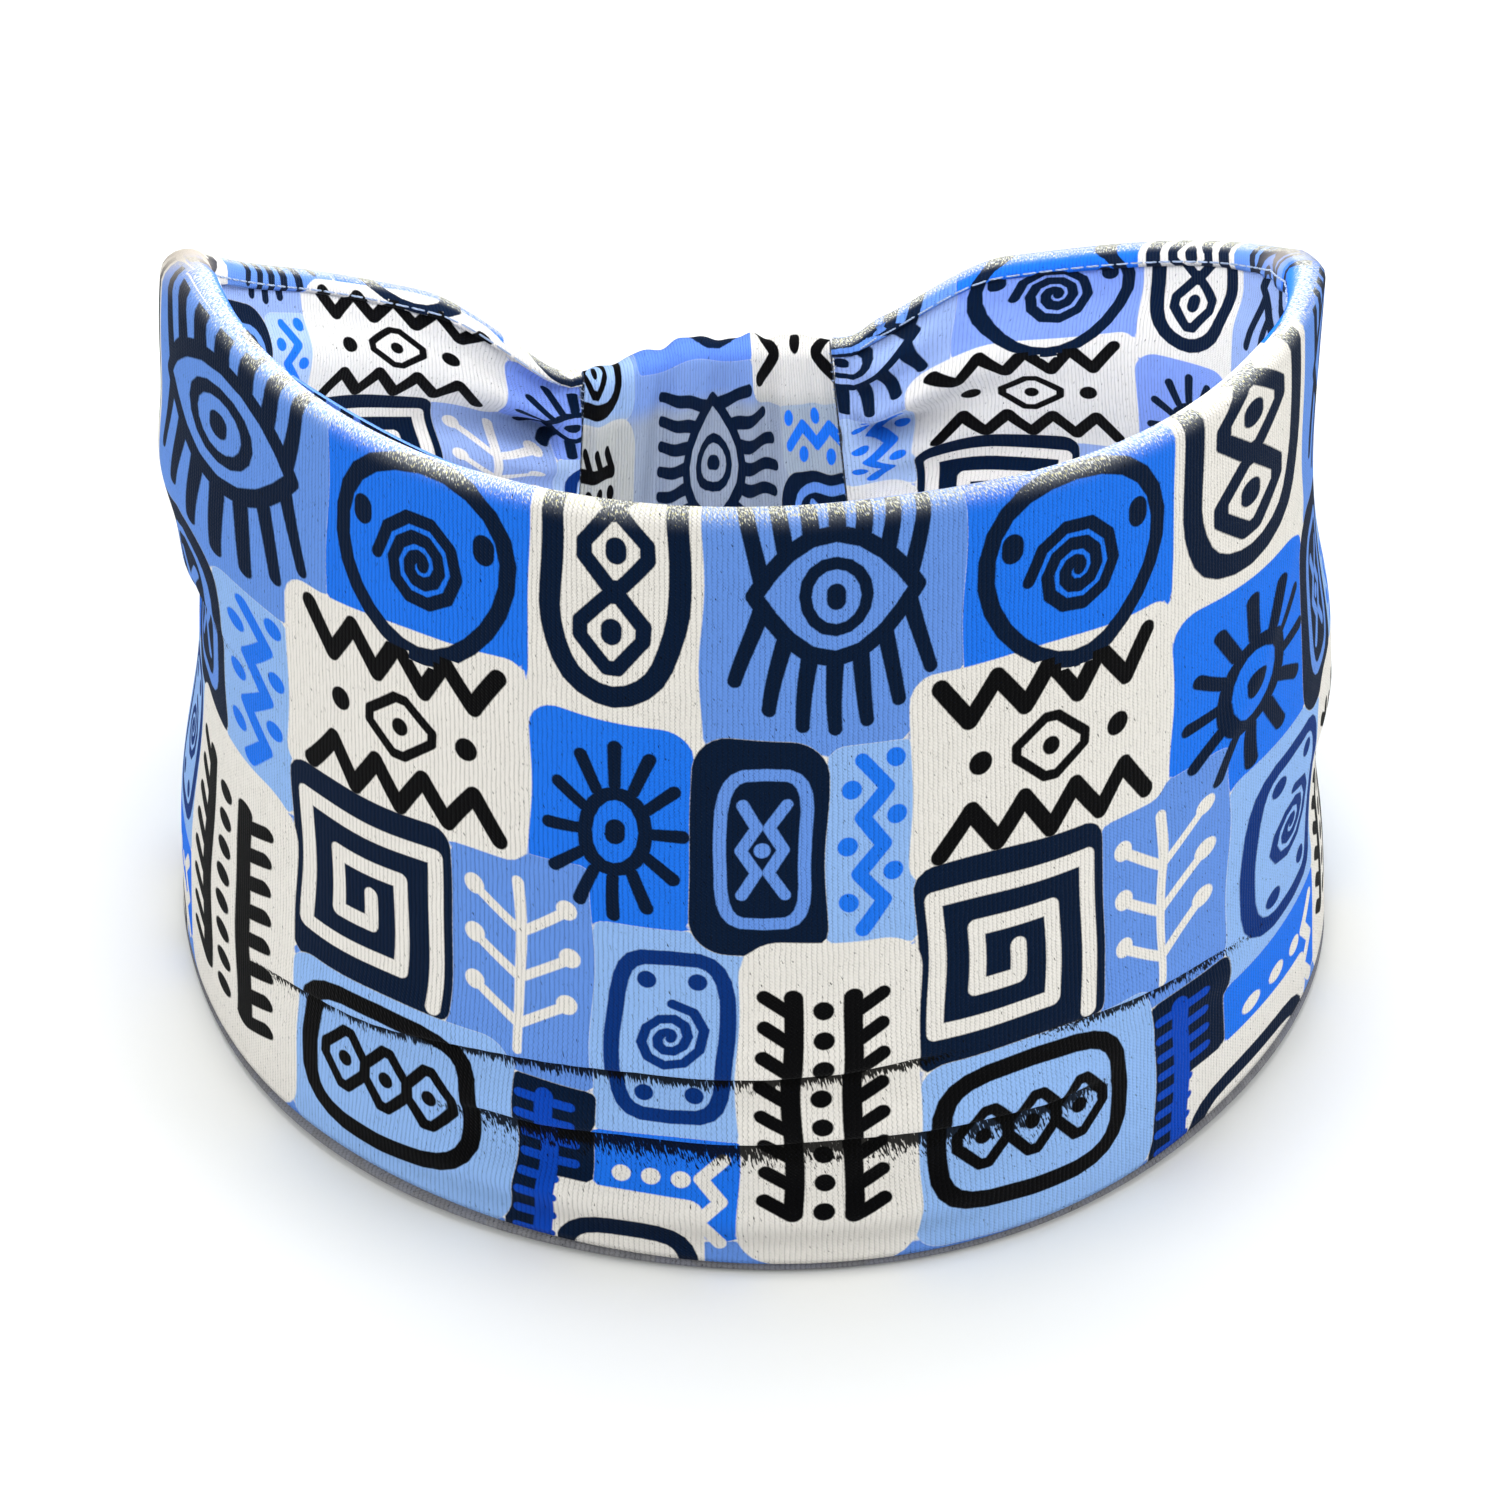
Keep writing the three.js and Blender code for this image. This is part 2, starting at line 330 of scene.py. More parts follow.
def store(piece, name, values):
    layer = piece.data.attributes.new(name, "FLOAT", "POINT")
    layer.data.foreach_set("value", np.ascontiguousarray(values, np.float32))


def store_vectors(piece, name, values):
    layer = piece.data.attributes.new(name, "FLOAT_VECTOR", "POINT")
    layer.data.foreach_set("vector", np.ascontiguousarray(values, np.float32).ravel())


def store_cloth_place(piece, across, along):
    parts = [both_faces(across), both_faces(along), both_faces(0 * along)]
    store_vectors(piece, "cloth", np.stack(parts, axis=1))


def store_corners(piece, name, values, rest):
    """Four numbers at each corner of the printed face's quads, and rest at every other corner."""
    every = np.tile(np.array(rest, np.float32), (len(piece.data.loops), 1))
    every[: len(values)] = values
    layer = piece.data.attributes.new(name, "FLOAT_COLOR", "CORNER")
    layer.data.foreach_set("color", np.ascontiguousarray(every, np.float32).ravel())


def store_print(piece, context, across, along, roll, bare, made, flip):
    """What the knit's finish reads: its place on the cloth, where it is stretched or carries painted light,
    where its edges are tinted, and the print.
    """
    store_cloth_place(piece, across, along)
    store(piece, "roll", both_faces(roll))
    store(piece, "bare", both_faces(bare))
    for name in GROUNDS:
        store(piece, name, both_faces(made.field[name]))
    order = [0, 3, 2, 1] if flip else [0, 1, 2, 3]
    for slot in range(SLOTS):
        local = made.local[:, :, slot][:, :, order].reshape(-1, 4)
        store_corners(piece, f"stroke_{slot}", local, NO_STROKE)
    palette = np.array([(*getattr(context.scene.band_print, name), 1.0) for name in INKS])
    inks = np.repeat(palette[made.ink[..., 0]].reshape(-1, 4), 4, axis=0)
    store_corners(piece, "stroke_ink", inks, (0, 0, 0, 1))


# ---- The print -----------------------------------------------------------------------------------
FAR = 2.5  # distances past this are cut off, in millimetres
GROUNDS = ("cream", "periwinkle", "sky", "cobalt", "navy")
SLOTS = 5  # strokes that one face of the mesh can show
NO_STROKE = (0, FAR * 4, 0, 0)  # along, across, half its length, and its radius


def line(ink_name, points, width, tip=None):
    """Straight strokes through the points, tapering from width to tip."""
    radii = np.linspace(width / 2, (tip or width) / 2, len(points))
    return [
        (ink_name, *a, *b, ra, rb)
        for a, b, ra, rb in zip(points[:-1], points[1:], radii[:-1], radii[1:])
    ]


def ring(ink_name, points, width):
    return line(ink_name, [*points, points[0]], width)


def eased(points, closed=True, steps=4):
    """The points with a smooth curve run through them."""
    p = np.array(points, float)
    if closed:
        p = np.concatenate([p[-1:], p, p[:2]])
    else:
        p = np.concatenate([p[:1], p, p[-1:]])
    curve = []
    for a, b, c, d in zip(p[:-3], p[1:-2], p[2:-1], p[3:]):
        for t in np.arange(steps) / steps:
            bend = (2 * a - 5 * b + 4 * c - d) * t * t + (3 * b - a - 3 * c + d) * t**3
            curve.append(tuple(b + 0.5 * ((c - a) * t + bend)))
    return curve if closed else [*curve, tuple(points[-1])]


def dot(ink_name, x, y, radius, tall=1.0):
    stretch = (tall - 1) * radius
    return [(ink_name, x, y - stretch, x, y + stretch, radius, radius)]


def oval(centre, wide, tall, count=16):
    turns = [2 * math.pi * i / count for i in range(count)]
    return [(centre[0] + wide * math.cos(t), centre[1] + tall * math.sin(t)) for t in turns]


def lozenge(centre, wide, tall):
    """A four-cornered ring with blunted corners."""
    x, y = centre
    blunt = 0.18
    return [
        (x - blunt * wide, y + tall * 0.9), (x + blunt * wide, y + tall * 0.9),
        (x + wide, y + blunt * tall), (x + wide, y - blunt * tall),
        (x + blunt * wide, y - tall * 0.92), (x - blunt * wide, y - tall * 0.92),
        (x - wide, y - blunt * tall), (x - wide, y + blunt * tall),
    ]


def zigzag(start, step, sway, count):
    """Points that swing from one side of a straight line to the other."""
    return [
        tuple(start[axis] + i * step[axis] + i % 2 * sway[axis] for axis in (0, 1)) for i in range(count)
    ]


def coil(centre, inner, outer, turns, tall=1.0):
    """A round spiral, from its middle outward."""
    count = round(turns * 10)
    curve = []
    for i in range(count + 1):
        turn = 2 * math.pi * turns * i / count
        radius = inner + (outer - inner) * i / count
        curve.append((centre[0] + radius * math.cos(turn), centre[1] + tall * radius * math.sin(turn)))
    return curve


def box_ring(centre, wide, tall, count=24):
    """A box with generously rounded corners."""
    corners = []
    for x, y in oval((0, 0), 1, 1, count):
        corners.append((
            centre[0] + wide * math.copysign(math.sqrt(abs(x)), x),
            centre[1] + tall * math.copysign(math.sqrt(abs(y)), y),
        ))
    return corners


def draw_rays():
    """A pointed oval round a smaller one, with even rays above and below."""
    wide, tall, level = 11.0, 8.6, 2.0
    rim = [(wide * x, level + tall * y * abs(y)) for x, y in oval((0, 0), 1, 1, 20)]
    strokes = ring("navy", rim, 2.3) + ring("navy", oval((0, level), 4.2, 4.6), 1.7)
    strokes += dot("navy", 0, level, 1.3, 1.4)
    for i in range(7):
        x = -9.9 + 3.3 * i
        edge = tall * (1 - (x / wide) ** 2)
        strokes += line("navy", [(x, level - edge), (1.3 * x, level - edge - 10)], 2.4, 1.9)
        strokes += line("navy", [(x, level + edge), (1.3 * x, 19)], 2.4, 1.9)
    return strokes


def draw_round_spiral():
    """An egg-shaped ring that holds a spiral and two dots."""
    rim = [(13.4 * x * (1 + 0.2 * y), -3 + 13.4 * y) for x, y in oval((0, 0), 1, 1, 24)]
    strokes = ring("navy", rim, 2.5) + line("navy", coil((0, -3.6), 0.4, 7.2, 2.5), 1.9)
    return strokes + dot("navy", -10.0, 1.6, 1.6, 1.3) + dot("navy", 10.0, 1.6, 1.6, 1.3)


def draw_stacked_lozenges():
    """Lozenges one over another, each with a dot, in a deep cup."""
    side = [(5.6, -9.6), (8.2, -3), (8.4, 5), (8.4, 20)]
    cup = [(-x, y) for x, y in reversed(side)] + [(0, -12.2)] + side
    strokes = line("navy", eased(cup, False, 3), 3.0)
    for level in (-3.2, 7.8, 18.8):
        strokes += ring("navy", lozenge((0, level), 4.2, 5.4), 2.1) + dot("navy", 0, level, 1.4, 1.3)
    return strokes


def draw_zigzag_rows():
    """A zigzag above and another below a lozenge between two dots."""
    strokes = line("black", zigzag((-16, 12), (4, 0), (0, -5.4), 9), 2.6)
    strokes += line("black", zigzag((-16, -12), (4, 0), (0, 5.4), 9), 2.6)
    strokes += ring("black", lozenge((0, 0), 5.2, 4.6), 1.5) + dot("black", 0, 0, 1.3)
    return strokes + dot("black", -10.5, 0, 1.7) + dot("black", 10.5, 0, 1.7)


def draw_sun():
    strokes = ring("navy", oval((0.6, 0.6), 4.1, 5.8), 2.0) + dot("navy", 0.6, 0.6, 1.35, 1.4)
    for x, y in oval((0, 0), 1, 1, 12):
        strokes += line("navy", [(0.6 + 5 * x, 0.6 + 7 * y), (0.6 + 9 * x, 0.6 + 12.6 * y)], 1.7, 1.9)
    return strokes


def draw_facing_zigzags():
    strokes = ring("periwinkle", box_ring((0.3, -0.8), 5.6, 11), 1.7) + dot("periwinkle", 0.3, -0.8, 1.1)
    strokes += line("periwinkle", zigzag((-2.5, 5.8), (0, -3.3), (2.0, 0), 5), 1.6)
    return strokes + line("periwinkle", zigzag((3.1, 5.8), (0, -3.3), (-2.0, 0), 5), 1.6)


def draw_zigzag_and_dots():
    strokes = line("cobalt", zigzag((-1.2, 10.8), (0, -4), (3.2, 0), 7), 2.1)
    for i in range(6):
        strokes += dot("cobalt", -2.8 if i % 2 else 3.4, 10.8 - 4 * i, 1.35)
    return strokes


def draw_square_spiral():
    corners = [(11.4, -13), (11.4, 10.4), (-11.4, 10.4), (-11.4, -9.4), (5.6, -9.4), (5.6, 4.8), (-5.8, 4.8)]
    return line("cream", [*corners, (-5.8, -4), (0.2, -4), (0.2, 0.6)], 2.4)


def draw_branch():
    """A stem with pairs of slanting twigs, each with a dot at its tip."""
    strokes = line("cream", [(0, 13), (0, -13.6)], 1.8, 1.3)
    for level in (5.4, -2.0, -9.4):
        for side in (-1, 1):
            strokes += line("cream", [(0, level), (side * 6.2, level + 4.4)], 1.5)
            strokes += dot("cream", side * 6.8, level + 5, 1.5)
    return strokes


def draw_boxed_spiral():
    strokes = ring("ultramarine", box_ring((1.2, 0.2), 7.4, 12.6), 2.2)
    strokes += line("ultramarine", coil((1.2, 0.2), 0.3, 5.0, 2.25, 1.1), 1.4)
    for x in (-2.2, 4.6):
        strokes += dot("ultramarine", x, 9.2, 1.3) + dot("ultramarine", x, -8.8, 1.3)
    return strokes


def draw_feathers():
    """Two bars with slanting teeth on their outer sides, and dots between them."""
    strokes = line("black", [(-4.2, 18), (-4.2, -16.4)], 2.6) + line("black", [(3.6, 18), (3.6, -16.4)], 2.6)
    for i in range(8):
        y = 15.6 - i * 4.6
        strokes += line("black", [(-4.4, y), (-8, y + 2.4)], 2.1)
        strokes += line("black", [(3.8, y), (7.4, y + 2.4)], 2.1)
        strokes += dot("black", -0.3, y + 0.6, 1.4)
    return strokes


def draw_boxed_chain():
    """A rounded frame round a chain of lozenges, each with a dot."""
    strokes = ring("black", box_ring((-2.0, 1.4), 13.8, 10.4), 2.8)
    for x in (-9.2, -2.0, 5.2):
        strokes += ring("black", lozenge((x, 1.4), 3.7, 4.8), 1.7) + dot("black", x, 1.4, 1.2)
    return strokes


def draw_double_comb():
    strokes = line("royal", [(-0.9, 13), (-0.9, -12.4)], 2.6)
    for i in range(9):
        y = 12.4 - i * 3.05
        reach = 2.8 if y > 1.5 else 0.2  # the arch's cell covers the lower teeth
        strokes += line("royal", [(-4.5, y), (reach, y)], 1.35)
    return strokes


def draw_dots_and_zigzag():
    strokes = line("cream", zigzag((8.0, 6.0), (0, -3.4), (-2.8, 0), 5), 1.9)
    for x in (-5.4, -1.4, 2.6):
        strokes += dot("cream", x, 2.2, 1.3)
    return strokes


def draw_arch():
    bow = [(-7.6, -8), (-7.4, -1.4), (-5, 1.6), (0.8, 2.2), (6.6, 1.6), (9, -1.4), (9.2, -8)]
    return line("navy", eased(bow, False, 3), 2.6)


# Each cell: left, right, bottom, top, corner radius, lean, ground ink, drawing and its middle.
# Later cells lie over earlier ones.
CELLS = (
    (-14.5, 20.5, 78.5, 128, 3.5, 0.0, "periwinkle", draw_rays, (3, 99.75)),
    (20.5, 53.5, 83, 128, 1.5, 0.0, "cobalt", draw_round_spiral, (37, 102.5)),
    (53.5, 76.5, 79.5, 128, 2, -0.14, "cream", draw_stacked_lozenges, (65, 99.75)),
    (53.5, 75.5, 51.5, 84, 4.5, -0.12, "cobalt", draw_sun, (64.5, 67.2)),
    (1.2, 15, 51, 80.5, 3, 0.0, "sky", draw_zigzag_and_dots, (7.5, 67.4)),
    (61.5, 82.5, 19.5, 54, 2.5, 0.0, "sky", draw_boxed_spiral, (71.2, 37)),
    (41.5, 62, 25, 62, 1.5, 0.0, "periwinkle", draw_branch, (51.75, 44.2)),
    (13, 53.5, 59.5, 89.3, 3.5, 0.03, "cream", draw_zigzag_rows, (33.25, 74.5)),
    (13.5, 41.5, 30.3, 61.3, 3, 0.0, "navy", draw_square_spiral, (27.5, 45.9)),
    (-16, 1.8, 50.3, 82, 5, -0.05, "navy", draw_facing_zigzags, (-6.75, 67)),
    (50, 62.5, -4, 27, 1.2, 0.0, "navy", draw_double_comb, (56.25, 11.5)),
    (61.8, 82, 5, 21.5, 1.2, 0.0, "cobalt", draw_dots_and_zigzag, (71, 12.3)),
    (55.2, 77, -8, 11.9, 2.2, -0.05, "cream", draw_arch, (65.8, 3.4)),
    (13.5, 50.8, 1.5, 31.5, 4.5, 0.0, "sky", draw_boxed_chain, (32.15, 16.5)),
    (-9.8, 14, 1, 52.5, 5.5, 0.0, "cream", draw_feathers, (1.5, 26.2)),
)
TALL_REPEAT = 128.0
MARGIN = 3.0  # how far round a cell its inks are worked out
FIGURE_REACH = (22, 24)  # half the width and height that a figure may fill


def block(x, y, half_wide, half_tall, round_off):
    """Signed distance to a rectangle with rounded corners."""
    across = np.abs(x) - half_wide + round_off
    along = np.abs(y) - half_tall + round_off
    outside = np.hypot(np.maximum(across, 0), np.maximum(along, 0))
    return outside + np.minimum(np.maximum(across, along), 0) - round_off


class Print:
    """Ground inks laid one over another, and strokes over them, on a grid of points x, y of the cloth.

    Each ground keeps the signed distance to its own edge at every point. Each face of the grid keeps
    the strokes nearest to it: at each of its corners, how far along and across the stroke that is.
    """

    def __init__(self, x, y, base):
        # A slow wander keeps every edge looking drawn by hand.
        self.x = x + 0.22 * np.sin(0.21 * y + 1.3) + 0.16 * np.sin(0.13 * x + 0.31 * y)
        self.y = y + 0.22 * np.sin(0.17 * x + 0.4) + 0.16 * np.sin(0.27 * x - 0.12 * y)
        self.field = {name: np.full(x.shape, FAR) for name in GROUNDS}
        self.field[base][...] = -FAR
        self.corner_x, self.corner_y = self.corners(self.x), self.corners(self.y)
        self.middle_x, self.middle_y = self.corner_x.mean(-1), self.corner_y.mean(-1)
        wide, tall = np.ptp(self.corner_x, axis=-1), np.ptp(self.corner_y, axis=-1)
        usual = np.percentile(wide, 95), np.percentile(tall, 95)
        self.broken = (wide > 4 * usual[0]) | (tall > 4 * usual[1])  # faces across a jump in the print
        self.reach = 0.55 * math.hypot(*usual) + 0.15
        self.near = np.full((*self.middle_x.shape, SLOTS), NO_STROKE[1])
        self.ink = np.zeros((*self.middle_x.shape, SLOTS), int)
        self.local = np.zeros((*self.middle_x.shape, SLOTS, 4, 4))
        self.local[...] = NO_STROKE

    @staticmethod
    def corners(values):
        return np.stack([values[:-1, :-1], values[1:, :-1], values[1:, 1:], values[:-1, 1:]], axis=-1)

    def lay(self, centre, half_wide, half_tall, round_off, lean, name):
        near_x = np.abs(self.x - centre[0]) < half_wide + MARGIN
        near_y = np.abs(self.y - centre[1]) < half_tall + MARGIN + 2
        where = np.nonzero(near_x & near_y)
        x, y = self.x[where] - centre[0], self.y[where] - centre[1]
        distance = np.clip(block(x, y - lean * x, half_wide, half_tall, round_off), -FAR, FAR)
        for other, field in self.field.items():
            if other == name:
                field[where] = np.minimum(field[where], distance)
            else:
                field[where] = np.maximum(field[where], -distance)

    def draw(self, centre, half_wide, half_tall, strokes):
        near_x = np.abs(self.middle_x - centre[0]) < half_wide
        near_y = np.abs(self.middle_y - centre[1]) < half_tall
        where = np.nonzero(near_x & near_y)
        if not len(where[0]):
            return
        shape = np.array([s[1:] for s in strokes])
        inks = np.array([INKS.index(s[0]) for s in strokes])
        start, end, first, last = shape[:, 0:2], shape[:, 2:4], shape[:, 4], shape[:, 5]
        span = np.hypot(*(end - start).T)
        way = np.where(span[:, None] > 1e-6, (end - start) / np.maximum(span, 1e-6)[:, None], (1.0, 0.0))

        def seen(x, y, index):
            """Distance along from the stroke's middle, across it, and its radius there."""
            from_x, from_y = x - start[index, 0], y - start[index, 1]
            along = from_x * way[index, 0] + from_y * way[index, 1]
            across = from_y * way[index, 0] - from_x * way[index, 1]
            share = np.clip(along / np.maximum(span[index], 1e-6), 0, 1)
            return along - span[index] / 2, across, first[index] + (last[index] - first[index]) * share

        every = np.arange(len(strokes))[None]
        x, y = self.middle_x[where] - centre[0], self.middle_y[where] - centre[1]
        along, across, radius = seen(x[:, None], y[:, None], every)
        distance = np.hypot(np.maximum(np.abs(along) - span[None] / 2, 0), across) - radius
        distance = np.where(distance < self.reach, distance, NO_STROKE[1])
        nearest = np.argsort(distance, axis=1)[:, :SLOTS]
        distance = np.take_along_axis(distance, nearest, 1)
        # At the four corners of each face, for each of its nearest strokes.
        corner_x = (self.corner_x[where] - centre[0])[:, None]
        corner_y = (self.corner_y[where] - centre[1])[:, None]
        along, across, radius = seen(corner_x, corner_y, nearest[:, :, None])
        half = np.broadcast_to(span[nearest][:, :, None] / 2, along.shape)
        local = np.stack([along, across, half, radius], axis=-1)
        self.keep_nearest(where, distance, inks[nearest], local)

    def keep_nearest(self, where, distance, inks, local):
        distance = np.concatenate([self.near[where], distance], axis=1)
        inks = np.concatenate([self.ink[where], inks], axis=1)
        local = np.concatenate([self.local[where], local], axis=1)
        order = np.argsort(distance, axis=1)[:, :SLOTS]
        self.near[where] = np.take_along_axis(distance, order, 1)
        self.ink[where] = np.take_along_axis(inks, order, 1)
        self.local[where] = np.take_along_axis(local, order[:, :, None, None], 1)

    def settle(self):
        """A face shows one ink's strokes: those of the nearest one."""
        other = (self.ink != self.ink[..., :1]) | (self.near > self.reach) | self.broken[..., None]
        self.local[other] = NO_STROKE


def printed(x, y, repeat):
    """Lays every cell of the print on the points x, y of the cloth."""
    made = Print(x, y, "periwinkle")
    low, high = math.floor((x.min() - 90) / repeat), math.ceil((x.max() + 30) / repeat)
    shifts = [
        (column * repeat, level * TALL_REPEAT) for level in range(-1, 2) for column in range(low, high + 1)
    ]
    for across, along in shifts:
        for left, right, bottom, top, round_off, lean, base, _, _ in CELLS:
            centre = ((left + right) / 2 + across, (bottom + top) / 2 + along)
            made.lay(centre, (right - left) / 2, (top - bottom) / 2, round_off, lean, base)
    for *_, draw, middle in CELLS:
        strokes = draw()
        for across, along in shifts:
            made.draw((middle[0] + across, middle[1] + along), *FIGURE_REACH, strokes)
    made.settle()
    return made


# ---- Finishes ------------------------------------------------------------------------------------
class Value:
    """A number on a socket. Arithmetic with it adds Math nodes."""

    def __init__(self, finish, socket):
        self.finish, self.socket = finish, socket

    def __add__(self, other):
        return self.finish.math("ADD", self, other)

    def __sub__(self, other):
        return self.finish.math("SUBTRACT", self, other)

    def __mul__(self, other):
        return self.finish.math("MULTIPLY", self, other)

    def __truediv__(self, other):
        return self.finish.math("DIVIDE", self, other)

    def __rsub__(self, other):
        return self.finish.math("SUBTRACT", other, self)

    __radd__, __rmul__ = __add__, __mul__

    def sine(self):
        return self.finish.math("SINE", self)

    def size(self):
        return self.finish.math("ABSOLUTE", self)

    def power(self, other):
        return self.finish.math("POWER", self, other)

    def clamped(self):
        return self.finish.math("ADD", self, 0.0, clamp=True)


class Finish:
    """A material made from nodes."""

    def __init__(self, name, roughness, **fixed):
        self.material = bpy.data.materials.new(name)
        self.material.use_nodes = True
        self.tree = self.material.node_tree
        self.shader = self.tree.nodes["Principled BSDF"]
        self.set(self.shader, {"Roughness": roughness, **fixed})

    def set(self, node, inputs):
        for key, value in inputs.items():
            socket = node.inputs[key]
            if isinstance(value, Value):
                self.tree.links.new(value.socket, socket)
            elif isinstance(value, bpy.types.NodeSocket):
                self.tree.links.new(value, socket)
            else:
                socket.default_value = value

    def node(self, kind, settings=None, inputs=None):
        made = self.tree.nodes.new(kind)
        for key, value in (settings or {}).items():
            setattr(made, key, value)
        self.set(made, inputs or {})
        return made

    def math(self, operation, *values, clamp=False):
        inputs = dict(enumerate(values))
        made = self.node("ShaderNodeMath", {"operation": operation, "use_clamp": clamp}, inputs)
        return Value(self, made.outputs[0])

    def attribute(self, name):
        made = self.node("ShaderNodeAttribute", {"attribute_name": name})
        return Value(self, made.outputs["Fac"])

    def vector_attribute(self, name):
        return self.node("ShaderNodeAttribute", {"attribute_name": name}).outputs["Vector"]

    def stroke(self, slot):
        """Distance to one of the strokes near this face: a straight bar with round ends."""
        made = self.node("ShaderNodeAttribute", {"attribute_name": f"stroke_{slot}"})
        along, across, half = self.split(made.outputs["Vector"])
        past = self.math("MAXIMUM", along.size() - half, 0.0)
        away = self.node("ShaderNodeVectorMath", {"operation": "LENGTH"}, {0: self.join(past, across)})
        return Value(self, away.outputs["Value"]) - Value(self, made.outputs["Alpha"])

    def object_place(self):
        return self.node("ShaderNodeTexCoord").outputs["Object"]

    def split(self, vector):
        made = self.node("ShaderNodeSeparateXYZ", inputs={0: vector})
        return [Value(self, s) for s in made.outputs]

    def join(self, x, y, z=0.0):
        return self.node("ShaderNodeCombineXYZ", inputs={0: x, 1: y, 2: z}).outputs[0]

    def noise(self, vector, scale, detail=2.0):
        inputs = {"Vector": vector, "Scale": scale, "Detail": detail}
        return Value(self, self.node("ShaderNodeTexNoise", inputs=inputs).outputs["Fac"])

    def mix(self, share, first, second):
        settings = {"data_type": "RGBA"}
        made = self.node("ShaderNodeMix", settings, {0: share, 6: colour(first), 7: colour(second)})
        return made.outputs[2]

    def shade(self, base, share):
        """base with its colours multiplied by one number."""
        settings = {"data_type": "RGBA", "blend_type": "MULTIPLY"}
        level = self.join(share, share, share)
        return self.node("ShaderNodeMix", settings, {0: 1.0, 6: base, 7: level}).outputs[2]

    def bump(self, height, distance, strength=1.0):
        inputs = {"Height": height, "Distance": distance, "Strength": strength}
        return self.node("ShaderNodeBump", inputs=inputs).outputs[0]


def colour(value):
    return value if isinstance(value, bpy.types.NodeSocket) else (*value, 1.0)


def printed_knit(name, context, edge_tint, painted_light_tint=(0.5, 0.5, 0.5)):
    """Fine jersey: inks with crisp edges, loops in wales and courses, ink that opens on the roll, and painted
    shade, shadow, sheen and highlights.
    """
    inks, cloth = context.scene.band_print, context.scene.band_cloth
    knit = Finish(name, 0.82, **{"Sheen Weight": 0.02, "Specular IOR Level": 0.06})
    place = knit.vector_attribute("cloth")
    across, along, _ = knit.split(place)
    grain = knit.noise(place, 2.6, 3.0)
    wander = knit.noise(knit.join(across * 0.25, along * 0.25), 1.0)
    wale = cloth.wale * METRE
    course = cloth.course * METRE
    sway = 0.06 * (along * (2 * math.pi / course)).sine() + 0.5 * wander
    column = (across + sway) * (math.pi / wale)
    groove = column.sine().size()
    loops = (along * (2 * math.pi / course) + 2.0 * column).sine()
    # The grounds are laid in turn: each covers the points that are inside its own edge.
    edge = 0.2
    rough_edge = 0.14 * (grain - 0.5)
    base = tuple(inks.cream)
    for name_of_ink in GROUNDS[1:]:
        # Before the navy ground, the lighter inks are mixed toward a grey tint: painted shade on the casing,
        # a painted pale haze on the lining.
        if name_of_ink == "navy":
            base = knit.mix(knit.attribute("faded"), base, painted_light_tint)
        inside = (0.5 - (knit.attribute(name_of_ink) + rough_edge) / edge).clamped()
        base = knit.mix(inside, base, tuple(getattr(inks, name_of_ink)))
    distance = knit.stroke(0)
    for slot in range(1, SLOTS):
        distance = knit.math("MINIMUM", distance, knit.stroke(slot))
    inside = (0.5 - (distance + rough_edge) / edge).clamped()
    base = knit.mix(inside, base, knit.vector_attribute("stroke_ink"))
    # Where the knit is stretched over the roll, pale yarn shows between the loops; toward the sides the same
    # pale flecks are a painted sheen.
    roll = knit.attribute("roll")
    flecks = knit.noise(knit.join(across * 5.2 + 1.6 * along, along * 2.0), 1.0, 2.0)
    opened = ((flecks + 0.42 * roll - 0.87) * 9).clamped()
    yarn = knit.mix(((grain - 0.38) * 4).clamped(), (0.80, 0.82, 0.86), (0.66, 0.60, 0.18))
    base = knit.mix(opened * roll.power(0.5), base, yarn)
    # Along the very crest the colour is lifted toward pale blue-white: partly the stretched knit, partly a
    # painted highlight.
    base = knit.mix(roll.power(3.0) * 0.25, base, (0.86, 0.88, 0.92))
    # At the top corners the crest is mixed toward greyish beige, a painted highlight; the lining's unprinted
    # lower lip is mixed toward dark grey as painted shade.
    base = knit.mix(knit.attribute("bare"), base, edge_tint)
    # Thin broken lines between the wales.
    broken = knit.noise(knit.join(across, along * 0.35), 1.3, 2.0) * 2.6 - 0.55
    gap = ((0.36 - groove) * 4).clamped() * broken.clamped()
    mottle = 1.02 - 0.36 * gap + 0.12 * (grain - 0.5) + 0.07 * (wander - 0.5) + 0.025 * loops
    # Painted shadow under the overlapping creases, broken into short dark hairs, and painted shade in the
    # gathers and below the hem's ridge.
    hairs = knit.noise(knit.join(across * 3.4 + 1.2 * along, along * 1.1), 1.0, 2.0)
    shadow = ((knit.attribute("crease") - 0.5 - (hairs - 0.5) * 2.4) * 4 + 0.5).clamped()
    base = knit.shade(base, mottle * (1 - 0.97 * shadow) * (1 - 0.6 * knit.attribute("shade")))
    height = groove.power(0.6) + 0.20 * loops + 0.4 * (grain - 0.5)
    fuzz = 0.76 + 0.14 * grain
    normal = knit.bump(height, 0.00014, 0.8)
    knit.set(knit.shader, {"Base Color": base, "Normal": normal, "Roughness": fuzz})
    return knit.material


def spun_thread(name, base):
    """Thread: strands twisted round each other."""
    thread = Finish(name, 0.6, **{"Sheen Weight": 0.1})
    place = thread.object_place()
    x, y, z = thread.split(place)
    twist = ((x + y) * 9000 + z * 12000).sine()
    tone = thread.noise(place, 900.0)
    thread.set(thread.shader, {
        "Base Color": thread.shade(colour_socket(thread, base), 0.82 + 0.18 * twist + 0.3 * (tone - 0.5)),
        "Normal": thread.bump(twist, 0.00008, 0.6),
    })
    return thread.material


def colour_socket(finish, value):
    return finish.mix(0.0, value, value)


